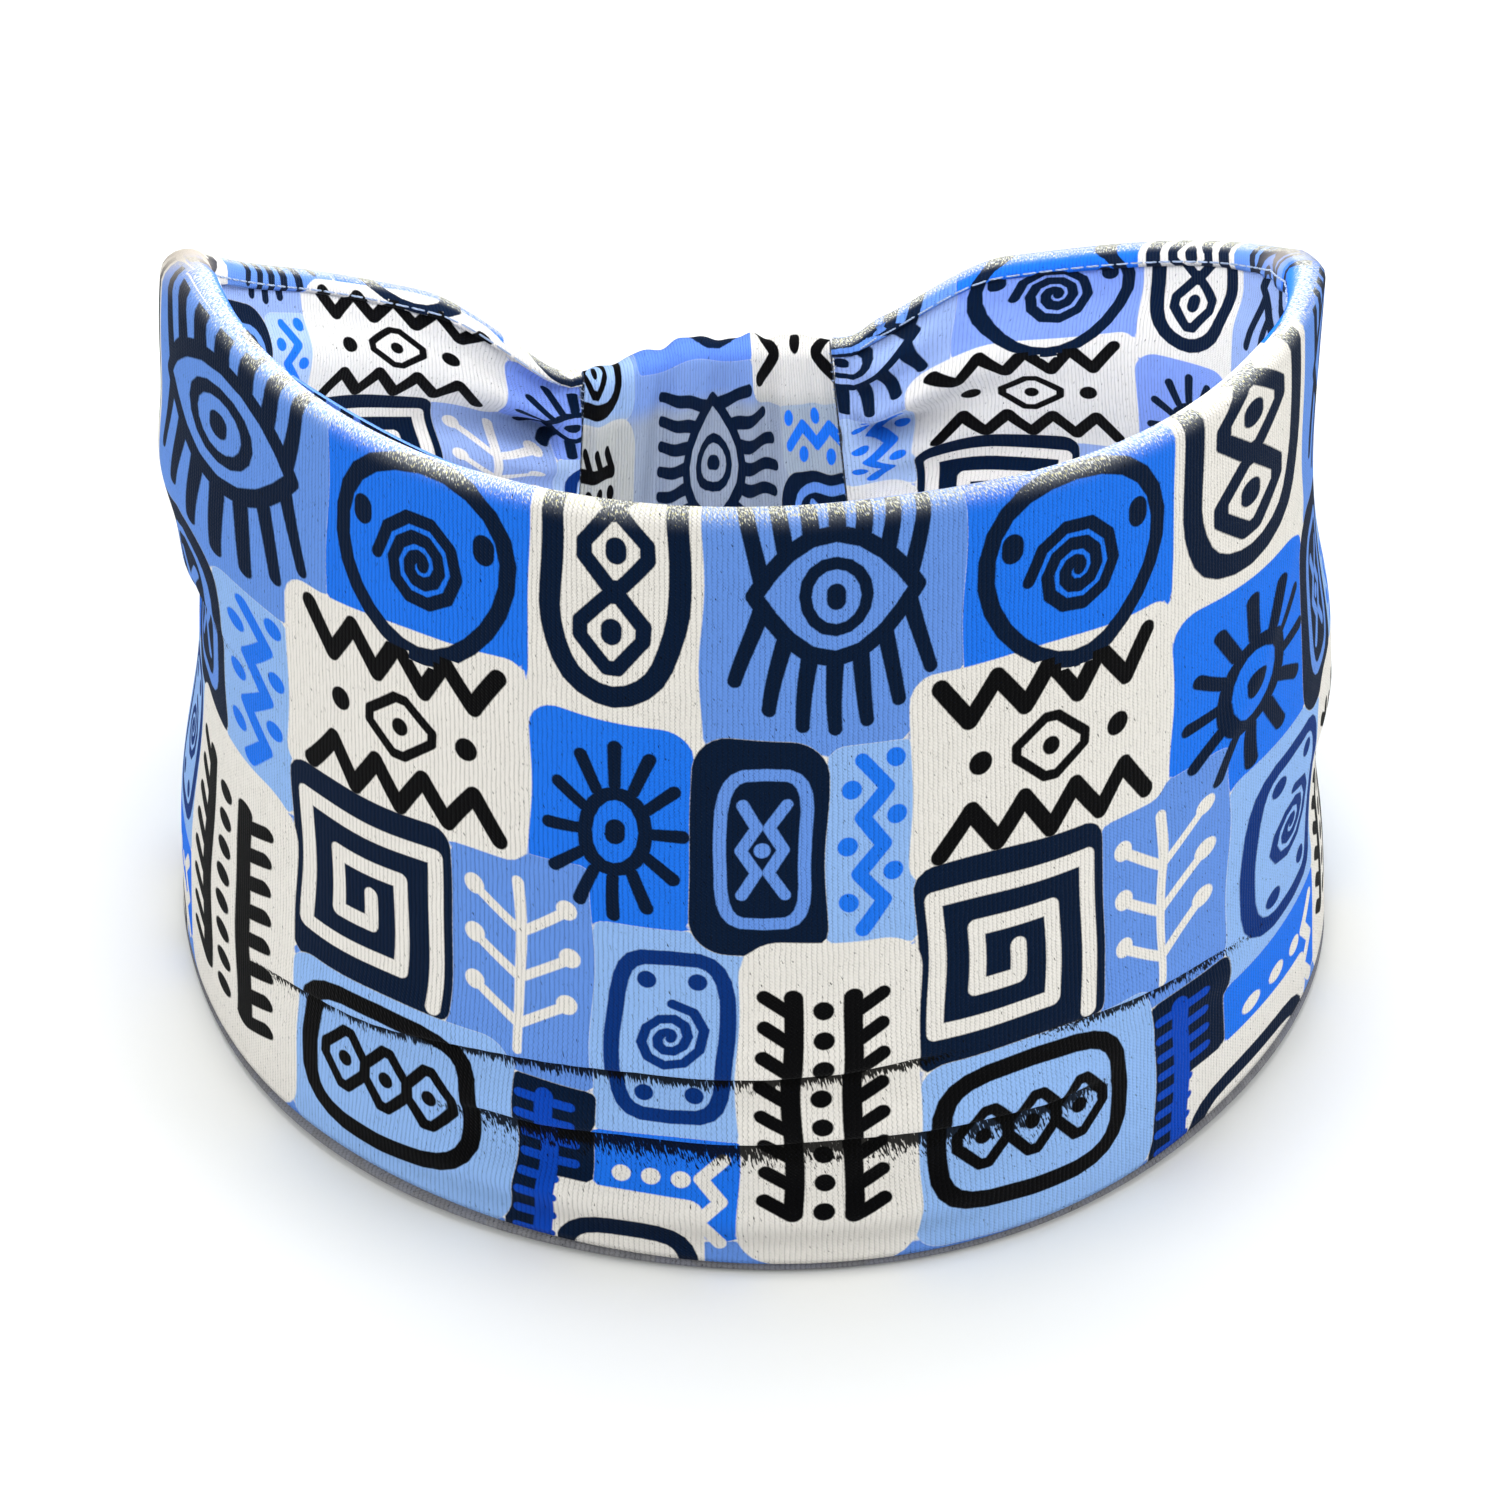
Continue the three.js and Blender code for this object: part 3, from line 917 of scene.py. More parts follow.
def ribbed_elastic(name):
    """Woven elastic: rubber cores in ribs along it, fine weft across."""
    weave = Finish(name, 0.75)
    place = weave.vector_attribute("cloth")
    across, along, _ = weave.split(place)
    ribs = (along * (2 * math.pi / 1.6)).sine()
    weft = (across * (2 * math.pi / 0.7)).sine()
    tone = weave.noise(place, 3.0)
    share = 0.86 + 0.08 * ribs + 0.04 * weft + 0.12 * (tone - 0.5)
    weave.set(weave.shader, {
        "Base Color": weave.shade(colour_socket(weave, (0.84, 0.83, 0.80)), share),
        "Normal": weave.bump(ribs + 0.4 * weft, 0.0002, 0.7),
    })
    return weave.material


def pale_floor(name):
    floor = Finish(name, 0.7, **{"Specular IOR Level": 0.2})
    tone = floor.noise(floor.object_place(), 3.0)
    paint = colour_socket(floor, (0.935, 0.94, 0.935))
    floor.set(floor.shader, {"Base Color": floor.shade(paint, 0.99 + 0.02 * tone)})
    return floor.material


def dress(piece, material):
    piece.data.materials.clear()
    piece.data.materials.append(material)


# ---- Cloth sections: where a point lies, outward and up, by its distance along the section -------
def roll_radius(context, along):
    """The rolled edge is fullest at the two top corners."""
    corner = bell(np.abs(along), 126, 22)
    left = 0.35 * bell(along, -128, 16)
    radius = context.scene.band_shape.roll_radius * METRE
    return radius * (1 + 0.62 * corner + left) + 0.12 * np.sin(along / 9.0)


def outer_section(form, context, along, v):
    """Hem turned up inside, wall, rolled top edge and tail. v is 0 at the lower fold."""
    tail = context.scene.band_shape.tail * METRE
    radius = roll_radius(context, along)
    low = lip_height(along) * 2 + 0.35
    turn = 0.42
    face = form.reach
    wall_top = form.height - radius
    wall_start = turn * math.pi / 2
    roll_start = wall_start + wall_top - low - turn
    roll_end = roll_start + math.pi * radius
    curl = 0.4
    tail_end = roll_end + tail
    hem = -turn * math.pi / 2
    angle = np.clip(v / turn, -math.pi / 2, math.pi / 2)
    bottom = (face - turn + turn * np.sin(angle), low + turn - turn * np.cos(angle))
    over = np.clip((v - roll_start) / radius, 0, math.pi)
    rolled = (face - radius + radius * np.cos(over), wall_top + radius * np.sin(over))
    end = np.clip((v - tail_end) / curl, 0, math.pi)
    spare = np.maximum(v - tail_end - math.pi * curl, 0)
    inner = face - 2 * radius
    curled = (inner + curl - curl * np.cos(end), wall_top - tail - curl * np.sin(end) + spare)
    cases = [v < hem, v < wall_start, v < roll_start, v < roll_end, v < tail_end]
    outward = np.select(cases, [face - 2 * turn, bottom[0], face, rolled[0], inner], curled[0])
    up = np.select(
        cases,
        [low + turn + hem - v, bottom[1], low + turn + v - wall_start, rolled[1], wall_top + roll_end - v],
        curled[1],
    )
    crest = v - (roll_start + roll_end) / 2
    return outward, up, crest, v + low + turn - wall_start


def lip_height(along):
    """Half the height of the lining's lower edge, which shows under the outer cloth beside the front."""
    return 0.45 + 0.75 * bell(along, -66, 34) + 0.7 * bell(along, 80, 30)


def tucks(context, along, up):
    """Overlapping creases across the lower front, in the outer cloth alone: outward, up, the painted shadow
    under the creases, and the painted shade below the hem's soft ridge.
    """
    depth = context.scene.band_cloth.tuck_depth * METRE
    wobble = 0.5 * np.sin(along / 7.3) + 0.35 * np.sin(along / 3.9 + 1.0)
    long_window = smooth(-96, -62, along) * (1 - smooth(2, 22, along)) + 0.7 * bell(along, 50, 15)
    short_window = smooth(-56, -34, along) * (1 - smooth(30, 46, along))
    left_side = bell(along, -126, 20)
    right_side = bell(along, 126, 18)
    upper = 33.2 - 0.0013 * (along - 5) ** 2 + 0.3 * wobble
    lower = 22.4 - 0.0014 * (along - 2) ** 2 + 0.4 * wobble
    # Height of the crease, how far it stands out, its width, how far it overlaps, and how deep its painted
    # shadow reaches.
    lines = (
        (upper, depth * long_window, 3.0, 6.2 * long_window, 0.35),
        (lower, 1.1 * depth * short_window, 3.4, 5.2 * short_window, 1.5),
        (66 + 0.06 * (along + 126), 1.3 * left_side, 4.0, 4.4 * left_side, 0.6),
        (38 - 0.1 * (along - 126), 1.5 * right_side, 3.6, 4.4 * right_side, 0.6),
    )
    outward = np.zeros_like(up)
    rise = np.zeros_like(up)
    under = np.zeros_like(up)
    for line_height, out, width, overhang, shade in lines:
        way = (up - line_height) / width
        outward += out * np.tanh(2.2 * way) * np.exp(-0.3 * way * way)
        rise -= overhang * way * np.exp(-2 * way * way)
        # Painted shadow on the cloth just below where the upper fold hides it.
        below = np.maximum(-0.99 * np.sqrt(overhang / 6) - way, 0) * width
        under += 1.15 * np.sqrt(overhang / 6) * np.exp(-below / shade) * (way < 0)
    soft = smooth(-80, -30, along) * (1 - smooth(10, 34, along))
    outward += 1.0 * soft * bell(up, 9.4 + 0.2 * wobble, 2.2) - 0.6 * soft * bell(up, 14.5, 2.6)
    # Painted shade below the soft ridge near the hem.
    shaded = 0.3 * soft * bell(up, 6.0, 2.0)
    outward += 0.6 * bell(along, 72, 22) * bell(up, 24.3, 2.4)
    # Round the sides the crease opens out, and its painted shadow fades away.
    under *= 1 - smooth(98, 116, np.abs(along))
    return outward, rise, np.clip(under, 0, 1), shaded


def lined_print(along, height):
    """Where the print lies on the inside of the band."""
    right = smooth(-150, 150, along)
    wide = 0.34 * (along + 104) * bell(along, -104, 50)
    return 18.5 + 31.5 * right - along + wide, height - 23 + 20 * right


def outer_points(form, context, along, v):
    """Points, distance past the crest, the print's place, the painted shadow under the creases, and the
    painted shade below the hem's ridge.
    """
    outward, up, crest, height = outer_section(form, context, along, v)
    out, rise, under, shaded = tucks(context, along, up)
    on_wall = (v > 0) & (crest < -3)
    fade = np.where(on_wall, smooth(0, 5, up) * (1 - smooth(form.height - 14, form.height - 6, up)), 0)
    inside = crest > 1.2 - 2.4 * smooth(80, 100, np.abs(along))
    inner_x, inner_y = lined_print(along, up)
    # The cloth is stretched most where it turns towards the sides.
    stretch = 17 * smooth(50, 100, along) - 18 * smooth(70, 125, -along)
    # The print runs straight on over a crease, as seen from the front.
    printed_height = height + rise * fade - 0.7 * out * fade
    # The left corner is drawn up without carrying the print with it.
    printed_height = printed_height + form.corner_rise(along, up / form.height) * (along < 0)
    place = np.where(inside, inner_x, along - stretch), np.where(inside, inner_y, printed_height)
    return form.place(along, outward + out * fade, up + rise * fade), crest, place, under * fade, shaded


def lining_points(form, along, v):
    """Lower edge turned out under the outer cloth, and a wall that ends behind the roll's tail."""
    lip = lip_height(along)
    face = form.reach
    quarter = (face + lip) * math.pi / 4
    allowance = -2 * quarter
    angle = np.clip(v / quarter * math.pi / 2, -math.pi, math.pi / 2)
    turned = (-face * np.sin(angle), lip - lip * np.cos(angle))
    cases = [v < allowance, v < quarter]
    up = np.select(cases, [2 * lip + (allowance - v), turned[1]], lip + v - quarter)
    tucked = -face + 1.35 * smooth(form.height - 18, form.height - 9, up)
    outward = np.select(cases, [0.25 + 0 * v, turned[0]], tucked)
    return form.place(along, outward, up), lined_print(along, np.where(v < quarter, lip + v - quarter, up))


def casing_section(form, v):
    """A flat sleeve: allowance, inner face up, over the top, outer face down, allowance. Heights are real."""
    half, allowance, quarter = 2.6, 2.4, 2.3
    low, high = form.casing_bottom, form.casing_top
    rise = high - half - low - quarter
    arc = quarter * math.pi / 2
    lengths = np.cumsum([allowance, arc, rise, math.pi * half, rise, arc, allowance])
    begin = (half - quarter, low + quarter)
    first = np.clip((v - lengths[0]) / quarter, 0, math.pi / 2)
    inner_turn = (-begin[0] - quarter * np.sin(first), low + quarter - quarter * np.cos(first))
    over = np.clip((v - lengths[2]) / half, 0, math.pi)
    top = (-half * np.cos(over), high - half + half * np.sin(over))
    last = np.clip((v - lengths[4]) / quarter, 0, math.pi / 2)
    outer_turn = (begin[0] + quarter * np.cos(last), low + quarter - quarter * np.sin(last))
    cases = [v < x for x in lengths[:-1]]
    flat = 0 * v
    outward = np.select(
        cases, [flat - begin[0], inner_turn[0], flat - half, top[0], flat + half, outer_turn[0]], begin[0]
    )
    up = np.select(
        cases,
        [low + lengths[0] - v, inner_turn[1], low + quarter + v - lengths[1], top[1],
         high - half - (v - lengths[3]), outer_turn[1]],
        low + v - lengths[5],
    )
    return outward, up, lengths[-1]


def casing_points(form, context, along, v):
    outward, z, _ = casing_section(form, v)
    way = (along - form.half_round) / form.casing_half
    held = np.clip(1 - way**4, 0, 1)
    depth = context.scene.band_cloth.ruche_depth * METRE
    ruche = np.sin(along * 0.66 + 0.8 * np.sin(along * 0.31) + 0.05 * z)
    ruche = ruche + 0.35 * np.sin(along * 1.4 + 0.09 * z)
    body = 1 - 0.9 * bell(z, form.casing_bottom, 2.5)
    # The face towards the head is pulled flatter than the outer one.
    depth = depth * np.where(outward > 0, 2.1, 0.8)
    body = body * (1 - 0.75 * smooth(form.casing_top - 9, form.casing_top - 2, z))
    outward = outward + np.sign(outward) * depth * (ruche + 0.85 * (outward > 0)) * held * body
    z = z + 0.2 * ruche * held * smooth(form.casing_top - 12, form.casing_top, z)
    up = (z - form.casing_bottom) * form.height / (form.casing_top - form.casing_bottom)
    pinch = 1 - 0.55 * smooth(0.93, 1.05, np.abs(way))
    return form.place(along, outward * pinch, up)


# ---- Stitches ------------------------------------------------------------------------------------
def one_stitch(context):
    """Points and faces of a short rounded stitch, 1 unit long on X and 1 across, bent up in the middle."""
    bpy.ops.object.select_all(action="DESELECT")
    bpy.ops.mesh.primitive_cylinder_add(vertices=6, radius=0.5, depth=1.0, rotation=(0, math.pi / 2, 0))
    pattern = context.object
    bpy.ops.object.transform_apply(location=False, rotation=True, scale=False)
    bpy.ops.object.mode_set(mode="EDIT")
    bpy.ops.mesh.select_all(action="DESELECT")
    bpy.ops.mesh.select_mode(type="FACE")
    bpy.ops.object.mode_set(mode="OBJECT")
    for face in pattern.data.polygons:
        face.select = len(face.vertices) == 6
    bpy.ops.object.mode_set(mode="EDIT")
    bpy.ops.mesh.inset(thickness=0.16, depth=0.12)
    bpy.ops.mesh.select_all(action="SELECT")
    bpy.ops.mesh.bisect(plane_co=(0, 0, 0), plane_no=(1, 0, 0))
    bpy.ops.object.mode_set(mode="OBJECT")
    points = np.array([v.co[:] for v in pattern.data.vertices])
    faces = [tuple(f.vertices) for f in pattern.data.polygons]
    mesh = pattern.data
    bpy.data.objects.remove(pattern)
    bpy.data.meshes.remove(mesh)
    points[:, 2] += 0.35 * (1 - (2 * points[:, 0]) ** 2).clip(0, 1)
    return points, faces


def sew(name, context, starts, ends, outs, width):
    """A row of stitches, one from each start to its end. outs is the way each stands off the cloth."""
    points, faces = one_stitch(context)
    along = ends - starts
    span = np.linalg.norm(along, axis=1, keepdims=True)
    along = along / span
    side = np.cross(outs, along)
    side /= np.linalg.norm(side, axis=1, keepdims=True)
    up = np.cross(along, side)
    middle = (starts + ends) / 2
    copies = (
        middle[:, None]
        + (points[None, :, 0:1] / 1.24 * span[:, None]) * along[:, None]
        + points[None, :, 1:2] * width * side[:, None]
        + points[None, :, 2:3] * width * up[:, None]
    )
    every_face = [
        tuple(v + copy * len(points) for v in face) for copy in range(len(starts)) for face in faces
    ]
    mesh = bpy.data.meshes.new(name)
    mesh.from_pydata((copies.reshape(-1, 3) / METRE).tolist(), [], every_face)
    mesh.polygons.foreach_set("use_smooth", np.ones(len(mesh.polygons), bool))
    piece = bpy.data.objects.new(name, mesh)
    context.scene.collection.objects.link(piece)
    return piece


def stitch_rows(place, low, high, pitch, share):
    """Starts and ends of stitches at an even pitch along a line. place turns a distance into points."""
    count = int((high - low) / pitch)
    first = low + (high - low - count * pitch) / 2 + pitch * np.arange(count)
    return place(first + pitch * (1 - share) / 2), place(first + pitch * (1 + share) / 2)


def thread_tube(name, route, radius, sides=6):
    """A thread along a route of points, closed at both ends."""
    ahead = np.gradient(route, axis=0)
    ahead /= np.linalg.norm(ahead, axis=1, keepdims=True)
    side = np.cross(ahead, (0.13, 0.21, 0.97))
    side /= np.linalg.norm(side, axis=1, keepdims=True)
    other = np.cross(ahead, side)
    turn = np.linspace(0, 2 * np.pi, sides, endpoint=False)
    round_it = np.cos(turn)[None, :, None] * side[:, None] + np.sin(turn)[None, :, None] * other[:, None]
    points = (route[:, None] + radius * round_it).reshape(-1, 3)
    count = len(route)
    corner = np.arange(count * sides).reshape(count, sides)
    a, b = corner[:-1], np.roll(corner[:-1], -1, axis=1)
    c, d = np.roll(corner[1:], -1, axis=1), corner[1:]
    walls = np.stack([x.ravel() for x in (a, b, c, d)], axis=1)
    caps = np.stack([corner[0][::-1], corner[-1]])
    return new_object(name, points, [walls, caps])


# ---- Pieces --------------------------------------------------------------------------------------
def blend_over_sides(piece, form):
    """Bakes the piece's placement into its points. The front, the gathered ends and the sides all stay where
    they were made.
    """
    ends = form.place(np.array([form.panel_end - 1.5]), 0, np.array([form.height]), relief=0.0)[0]
    start = (0, form.centre_y / METRE - 0.02, 0)
    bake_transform(piece)


class HEADBAND_OT_outer_cloth(bpy.types.Operator):
    """Printed outer cloth, with its rolled top edge and creases"""

    bl_idname = "headband.outer_cloth"
    bl_label = "Outer Cloth"

    def execute(self, context):
        form = Form(context)
        cloth = context.scene.band_cloth
        spacing = cloth.spacing * METRE
        columns = steps_between(-form.panel_end - 0.9, form.panel_end + 0.9, spacing)
        # Closer rows where the creases are.
        rows = joined_steps(
            (-5.0, 12.0, 1.1 * spacing), (12.0, 36.0, 0.6 * spacing), (36.0, 122.5, 1.15 * spacing)
        )
        along, v = np.meshgrid(columns, rows, indexing="ij")
        grid, crest, place, under, shaded = outer_points(form, context, along, v)
        piece = cloth_object("outer_cloth", grid, cloth.thickness * METRE, False)
        made = printed(*place, context.scene.band_print.repeat * METRE)
        roll = smooth(-5.0, -0.4, crest) * (1 - smooth(1.0, 3.0, crest))
        # Painted sheen: pale flecks toward the sides, growing with height.
        painted_light_share = 0.22 * smooth(84, 122, np.abs(along)) * smooth(30, 80, v)
        # Painted highlight: the crest of the top corners is tinted greyish beige.
        corner = bell(along, -131, 13) + 0.5 * bell(along, 132, 10)
        bare = corner * smooth(-7, -1, crest) * (1 - smooth(3, 7, crest))
        store_print(piece, context, along, v, np.maximum(roll, painted_light_share), bare, made, False)
        # Painted shadow under the creases, and painted shade below the hem's ridge and in the gathers.
        store(piece, "crease", both_faces(under))
        store(piece, "shade", both_faces(shaded + 0.3 * form.fold_depth(along, v / form.height, -1)))
        dress(piece, printed_knit("outer_jersey", context, (0.56, 0.50, 0.44)))
        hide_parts("outer_panel")
        blend_over_sides(piece, form)
        return {"FINISHED"}


class HEADBAND_OT_lining_cloth(bpy.types.Operator):
    """Printed lining, its print facing the head"""

    bl_idname = "headband.lining_cloth"
    bl_label = "Lining Cloth"

    def execute(self, context):
        form = Form(context)
        cloth = context.scene.band_cloth
        spacing = cloth.spacing * METRE
        columns = steps_between(-form.panel_end - 0.9, form.panel_end + 0.9, spacing)
        rows = steps_between(-7.0, 109.5, spacing)
        along, v = np.meshgrid(columns, rows, indexing="ij")
        grid, place = lining_points(form, along, v)
        piece = cloth_object("lining_cloth", grid, cloth.thickness * METRE, True)
        made = printed(*place, context.scene.band_print.repeat * METRE)
        # The unprinted lower lip, darkened toward grey as painted shade.
        lip = 1 - smooth(2.5, 6, v)
        store_print(piece, context, along, v, 0 * v, 0.96 * lip, made, True)
        # Painted pale haze over the lining's lighter inks.
        store(piece, "faded", both_faces(0.28 + 0 * v))
        # Painted shade in the gathers.
        store(piece, "shade", both_faces(form.fold_depth(along, v / form.height, 1)))
        dress(piece, printed_knit("lining_jersey", context, (0.22, 0.22, 0.24), (0.74, 0.76, 0.77)))
        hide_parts("lining_panel")
        blend_over_sides(piece, form)
        return {"FINISHED"}


class HEADBAND_OT_back_casing(bpy.types.Operator):
    """Ruched sleeve of printed cloth at the back"""

    bl_idname = "headband.back_casing"
    bl_label = "Back Casing"

    def execute(self, context):
        form = Form(context)
        cloth = context.scene.band_cloth
        reach = form.casing_half + 0.9
        columns = steps_between(form.half_round - reach, form.half_round + reach, 0.5)
        total = casing_section(form, np.zeros(1))[2]
        rows = steps_between(0.0, total, 0.8)
        along, v = np.meshgrid(columns, rows, indexing="ij")
        grid = casing_points(form, context, along, v)
        piece = cloth_object("casing_cloth", grid, cloth.thickness * METRE, True)
        fullness = 1.77  # print along the sleeve for each length of relaxed elastic
        # The sleeve is cut crosswise, so the print lies on its side.
        across_print = 3 + 0.87 * (v - 32.5)
        back = along - form.half_round
        along_print = 102 + fullness * back + 0.02 * np.maximum(back, 0) ** 2
        made = printed(across_print, along_print, context.scene.band_print.repeat * METRE)
        store_print(piece, context, 1.4 * along, v, 0 * v, 0 * v, made, True)
        height = casing_section(form, v)[1]
        # Painted shade: the sleeve's inks grey more below its top.
        painted_light_share = 0.25 + 0.5 * (1 - smooth(form.casing_top - 12, form.casing_top - 7, height))
        store(piece, "faded", both_faces(painted_light_share))
        dress(piece, printed_knit("casing_jersey", context, (0.5, 0.5, 0.5), (0.40, 0.42, 0.40)))
        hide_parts("back_casing")
        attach(piece, "back")
        return {"FINISHED"}


class HEADBAND_OT_elastic(bpy.types.Operator):
    """Flat woven elastic inside the casing"""

    bl_idname = "headband.elastic"
    bl_label = "Elastic"

    def execute(self, context):
        form = Form(context)
        low, high = ELASTIC_LOW[2] * METRE, ELASTIC_HIGH[2] * METRE
        columns = steps_between(form.half_round - form.casing_half, form.half_round + form.casing_half, 0.7)
        rows = steps_between(low, high, 0.4)
        along, z = np.meshgrid(columns, rows, indexing="ij")
        rib = 0.12 * np.sin(z * 2 * np.pi / 1.6) + 0.05 * np.sin(along * 2 * np.pi / 2.1)
        up = (z - form.casing_bottom) * form.height / (form.casing_top - form.casing_bottom)
        grid = form.place(along, 0.4 + rib, up, relief=0.0)
        piece = cloth_object("elastic_webbing", grid, 1.05, False)
        store_cloth_place(piece, along, z)
        dress(piece, ribbed_elastic("ribbed_elastic"))
        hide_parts("elastic_band")
        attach(piece, "back")
        return {"FINISHED"}


def finish_thread(piece, material, node):
    dress(piece, material)
    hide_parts(node)


def seam_thread():
    made = bpy.data.materials.get("pale_blue_thread")
    return made or spun_thread("pale_blue_thread", (0.36, 0.46, 0.66))


class HEADBAND_OT_edge_seams(bpy.types.Operator):
    """Stitching inside the top edge and along the lower edge"""

    bl_idname = "headband.edge_seams"
    bl_label = "Edge Seams"

    def execute(self, context):
        form = Form(context)
        shape = context.scene.band_shape
        reach = form.panel_end - 3
        tail_middle = form.height - (shape.roll_radius + 0.7 * shape.tail) * METRE

        def on_tail(along):
            return form.place(along, form.reach - 2 * roll_radius(context, along) - 0.12, tail_middle)

        starts, ends = stitch_rows(on_tail, -reach, reach, 2.9, 0.8)
        outs = -form.away(starts)
        top = sew("top_seam_stitches", context, starts, ends, outs, 0.28)
        finish_thread(top, seam_thread(), "top_edge_seam")
        blend_over_sides(top, form)

        def in_hem(along):
            return form.place(along, 0.62, 5.2)

        starts, ends = stitch_rows(in_hem, -reach, reach, 2.9, 0.8)
        outs = form.away(starts)
        bottom = sew("bottom_seam_stitches", context, starts, ends, outs, 0.35)
        finish_thread(bottom, seam_thread(), "bottom_edge_seam")
        blend_over_sides(bottom, form)
        return {"FINISHED"}


class HEADBAND_OT_gather_threads(bpy.types.Operator):
    """Running stitches that draw up each end of the panel, and the seam along the casing"""

    bl_idname = "headband.gather_threads"
    bl_label = "Gather and Casing Threads"

    def execute(self, context):
        form = Form(context)
        for word, side in (("left", -1), ("right", 1)):
            along = side * (form.panel_end - 4.6)

            def up_the_end(up):
                return form.place(np.full_like(up, along), 0.0, up)

            starts, ends = stitch_rows(up_the_end, 8, 100, 6.2, 0.75)
            outs = form.away(starts)
            piece = sew(f"{word}_gather_stitches", context, starts, ends, outs, 0.4)
            finish_thread(piece, seam_thread(), f"{word}_gather_thread")
            blend_over_sides(piece, form)
        low = 2.6 * form.height / (form.casing_top - form.casing_bottom)

        def along_casing(along):
            return form.place(along, -0.1, low, relief=0.0)

        reach = form.casing_half - 1
        starts, ends = stitch_rows(along_casing, form.half_round - reach, form.half_round + reach, 2.6, 0.8)
        outs = form.away(starts)
        piece = sew("casing_seam_stitches", context, starts, ends, outs, 0.35)
        finish_thread(piece, seam_thread(), "back_casing_seam")
        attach(piece, "back")
        return {"FINISHED"}


class HEADBAND_OT_joining_seams(bpy.types.Operator):
    """Overlocked thread round each join between panel and casing, and the tacks on the elastic"""

    bl_idname = "headband.joining_seams"
    bl_label = "Joining Seams"

    def execute(self, context):
        form = Form(context)
        turns, per_turn = 30, 14
        turn = np.linspace(0, turns * 2 * np.pi, turns * per_turn)
        up = np.linspace(1.5, form.height - 1.5, len(turn))
        for word, side in (("left", -1), ("right", 1)):
            middle = form.panel_end + 1.1
            route = form.place(side * (middle + 0.5 * np.sin(turn)), 1.5 * np.cos(turn), up, relief=0.0)
            piece = thread_tube(f"{word}_overlock", route, 0.09)
            finish_thread(piece, seam_thread(), f"{word}_joining_seam")
            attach(piece, "back")
            near = form.half_round - form.casing_half + 2.6
            scale = form.height / (form.casing_top - form.casing_bottom)
            low = (ELASTIC_LOW[2] * METRE + 2 - form.casing_bottom) * scale
            high = (ELASTIC_HIGH[2] * METRE - 2 - form.casing_bottom) * scale
            rows = 36
            heights = np.linspace(low, high, rows + 1)
            zig = near + 0.6 * np.where(np.arange(rows + 1) % 2, 1, -1)
            points = form.place(side * zig, 0.78, heights, relief=0.0)
            outs = form.away(points[:-1])
            tack = sew(f"{word}_tack_stitches", context, points[:-1], points[1:], outs, 0.32)
            finish_thread(tack, seam_thread(), f"{word}_elastic_tack")
            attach(tack, "back")
        return {"FINISHED"}


# ---- Stage ---------------------------------------------------------------------------------------
def soft_light(name, place, aim, size, power, tint=(1, 1, 1)):
    light = bpy.data.lights.new(name, "AREA")
    light.shape = "DISK"
    light.size = size
    light.energy = power
    light.color = tint
    lamp = bpy.data.objects.new(name, light)
    bpy.context.scene.collection.objects.link(lamp)
    lamp.location = place
    lamp.visible_camera = False
    lamp.rotation_euler = (Vector(aim) - Vector(place)).to_track_quat("-Z", "Y").to_euler()


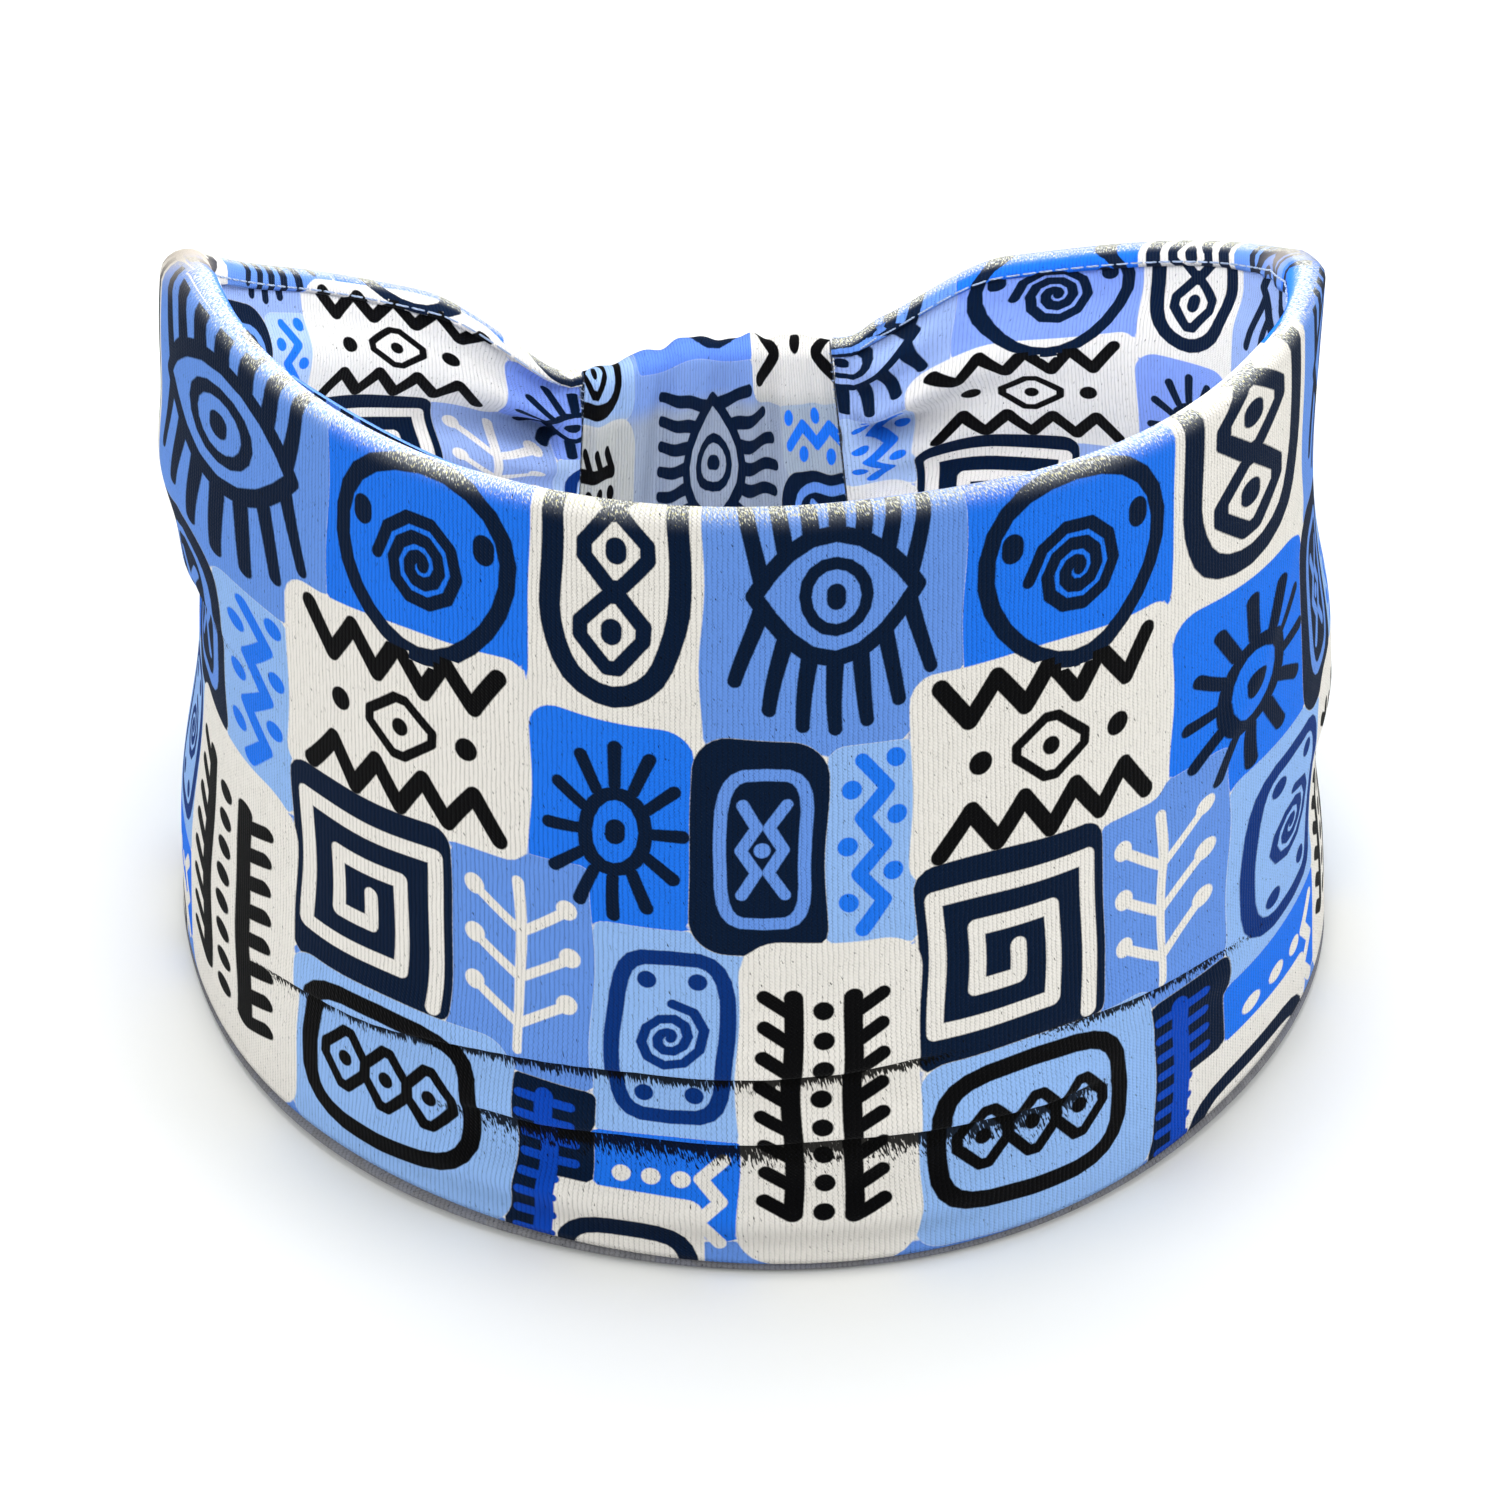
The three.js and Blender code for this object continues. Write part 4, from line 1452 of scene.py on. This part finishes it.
class HEADBAND_OT_stage(bpy.types.Operator):
    """Pale floor, soft lights and the camera"""

    bl_idname = "headband.stage"
    bl_label = "Stage"

    def execute(self, context):
        scene = context.scene
        bpy.ops.object.select_all(action="DESELECT")
        bpy.ops.mesh.primitive_plane_add(size=8.0, location=(0, 0, -0.0002))
        floor = context.object
        floor.name = "floor"
        bpy.ops.object.transform_apply(location=True, rotation=False, scale=False)
        dress(floor, pale_floor("floor_paint"))
        world = bpy.data.worlds.new("studio")
        scene.world = world
        world.use_nodes = True
        world.node_tree.nodes["Background"].inputs["Color"].default_value = (0.975, 1.0, 0.97, 1.0)
        world.node_tree.nodes["Background"].inputs["Strength"].default_value = 0.50
        target = (0, 0, 0.05)
        soft_light("front", (0.3, -1.5, 0.75), target, 0.8, 3.0, (1.0, 0.99, 0.97))
        soft_light("left", (-1.35, -0.35, 0.7), target, 0.9, 5.5)
        soft_light("right", (1.35, -0.45, 0.75), target, 0.9, 6.5)
        soft_light("top", (0.0, 0.5, 1.5), target, 0.9, 12.0)
        soft_light("over_opening", (0.0, -0.05, 0.5), (0, 0.06, 0.05), 0.12, 0.6)
        soft_light("inside_card", (0.0, -0.056, 0.165), (0, 0.077, 0.14), 0.06, 0.24)
        scene.view_settings.view_transform = "Standard"
        camera = bpy.data.cameras.new("camera")
        camera.sensor_width = 36.0
        camera.lens = 103.4
        view = bpy.data.objects.new("camera", camera)
        scene.collection.objects.link(view)
        form = Form(context)
        aim = Vector((0.0, form.centre_y / METRE, 0.022))
        turn, tilt, distance = math.radians(-5.4), math.radians(35.3), 0.63
        away = Vector((math.sin(turn) * math.cos(tilt), -math.cos(turn) * math.cos(tilt), math.sin(tilt)))
        view.location = aim + away * distance
        view.rotation_euler = (-away).to_track_quat("-Z", "Y").to_euler()
        scene.camera = view
        return {"FINISHED"}


PIECES = (
    HEADBAND_OT_stage,
    HEADBAND_OT_outer_cloth,
    HEADBAND_OT_lining_cloth,
    HEADBAND_OT_back_casing,
    HEADBAND_OT_elastic,
    HEADBAND_OT_edge_seams,
    HEADBAND_OT_gather_threads,
    HEADBAND_OT_joining_seams,
)


class HEADBAND_PT_sidebar(bpy.types.Panel):
    """Lists the sizes, the inks and the pieces"""

    bl_label = "Headband"
    bl_idname = "HEADBAND_PT_sidebar"
    bl_space_type = "VIEW_3D"
    bl_region_type = "UI"
    bl_category = "Headband"

    def draw(self, context):
        for group in (context.scene.band_shape, context.scene.band_cloth, context.scene.band_print):
            box = self.layout.box()
            for name in group.bl_rna.properties.keys():
                if name not in ("rna_type", "name"):
                    box.prop(group, name)
        for piece in PIECES:
            self.layout.operator(piece.bl_idname)


CLASSES = (BandShape, BandCloth, BandPrint, *PIECES, HEADBAND_PT_sidebar)


def register():
    for made in CLASSES:
        bpy.utils.register_class(made)
    bpy.types.Scene.band_shape = PointerProperty(type=BandShape)
    bpy.types.Scene.band_cloth = PointerProperty(type=BandCloth)
    bpy.types.Scene.band_print = PointerProperty(type=BandPrint)


def unregister():
    del bpy.types.Scene.band_shape
    del bpy.types.Scene.band_cloth
    del bpy.types.Scene.band_print
    for made in reversed(CLASSES):
        bpy.utils.unregister_class(made)


def main():
    register()
    for piece in PIECES:
        group, name = piece.bl_idname.split(".")
        getattr(getattr(bpy.ops, group), name)()


if __name__ == "__main__":
    main()
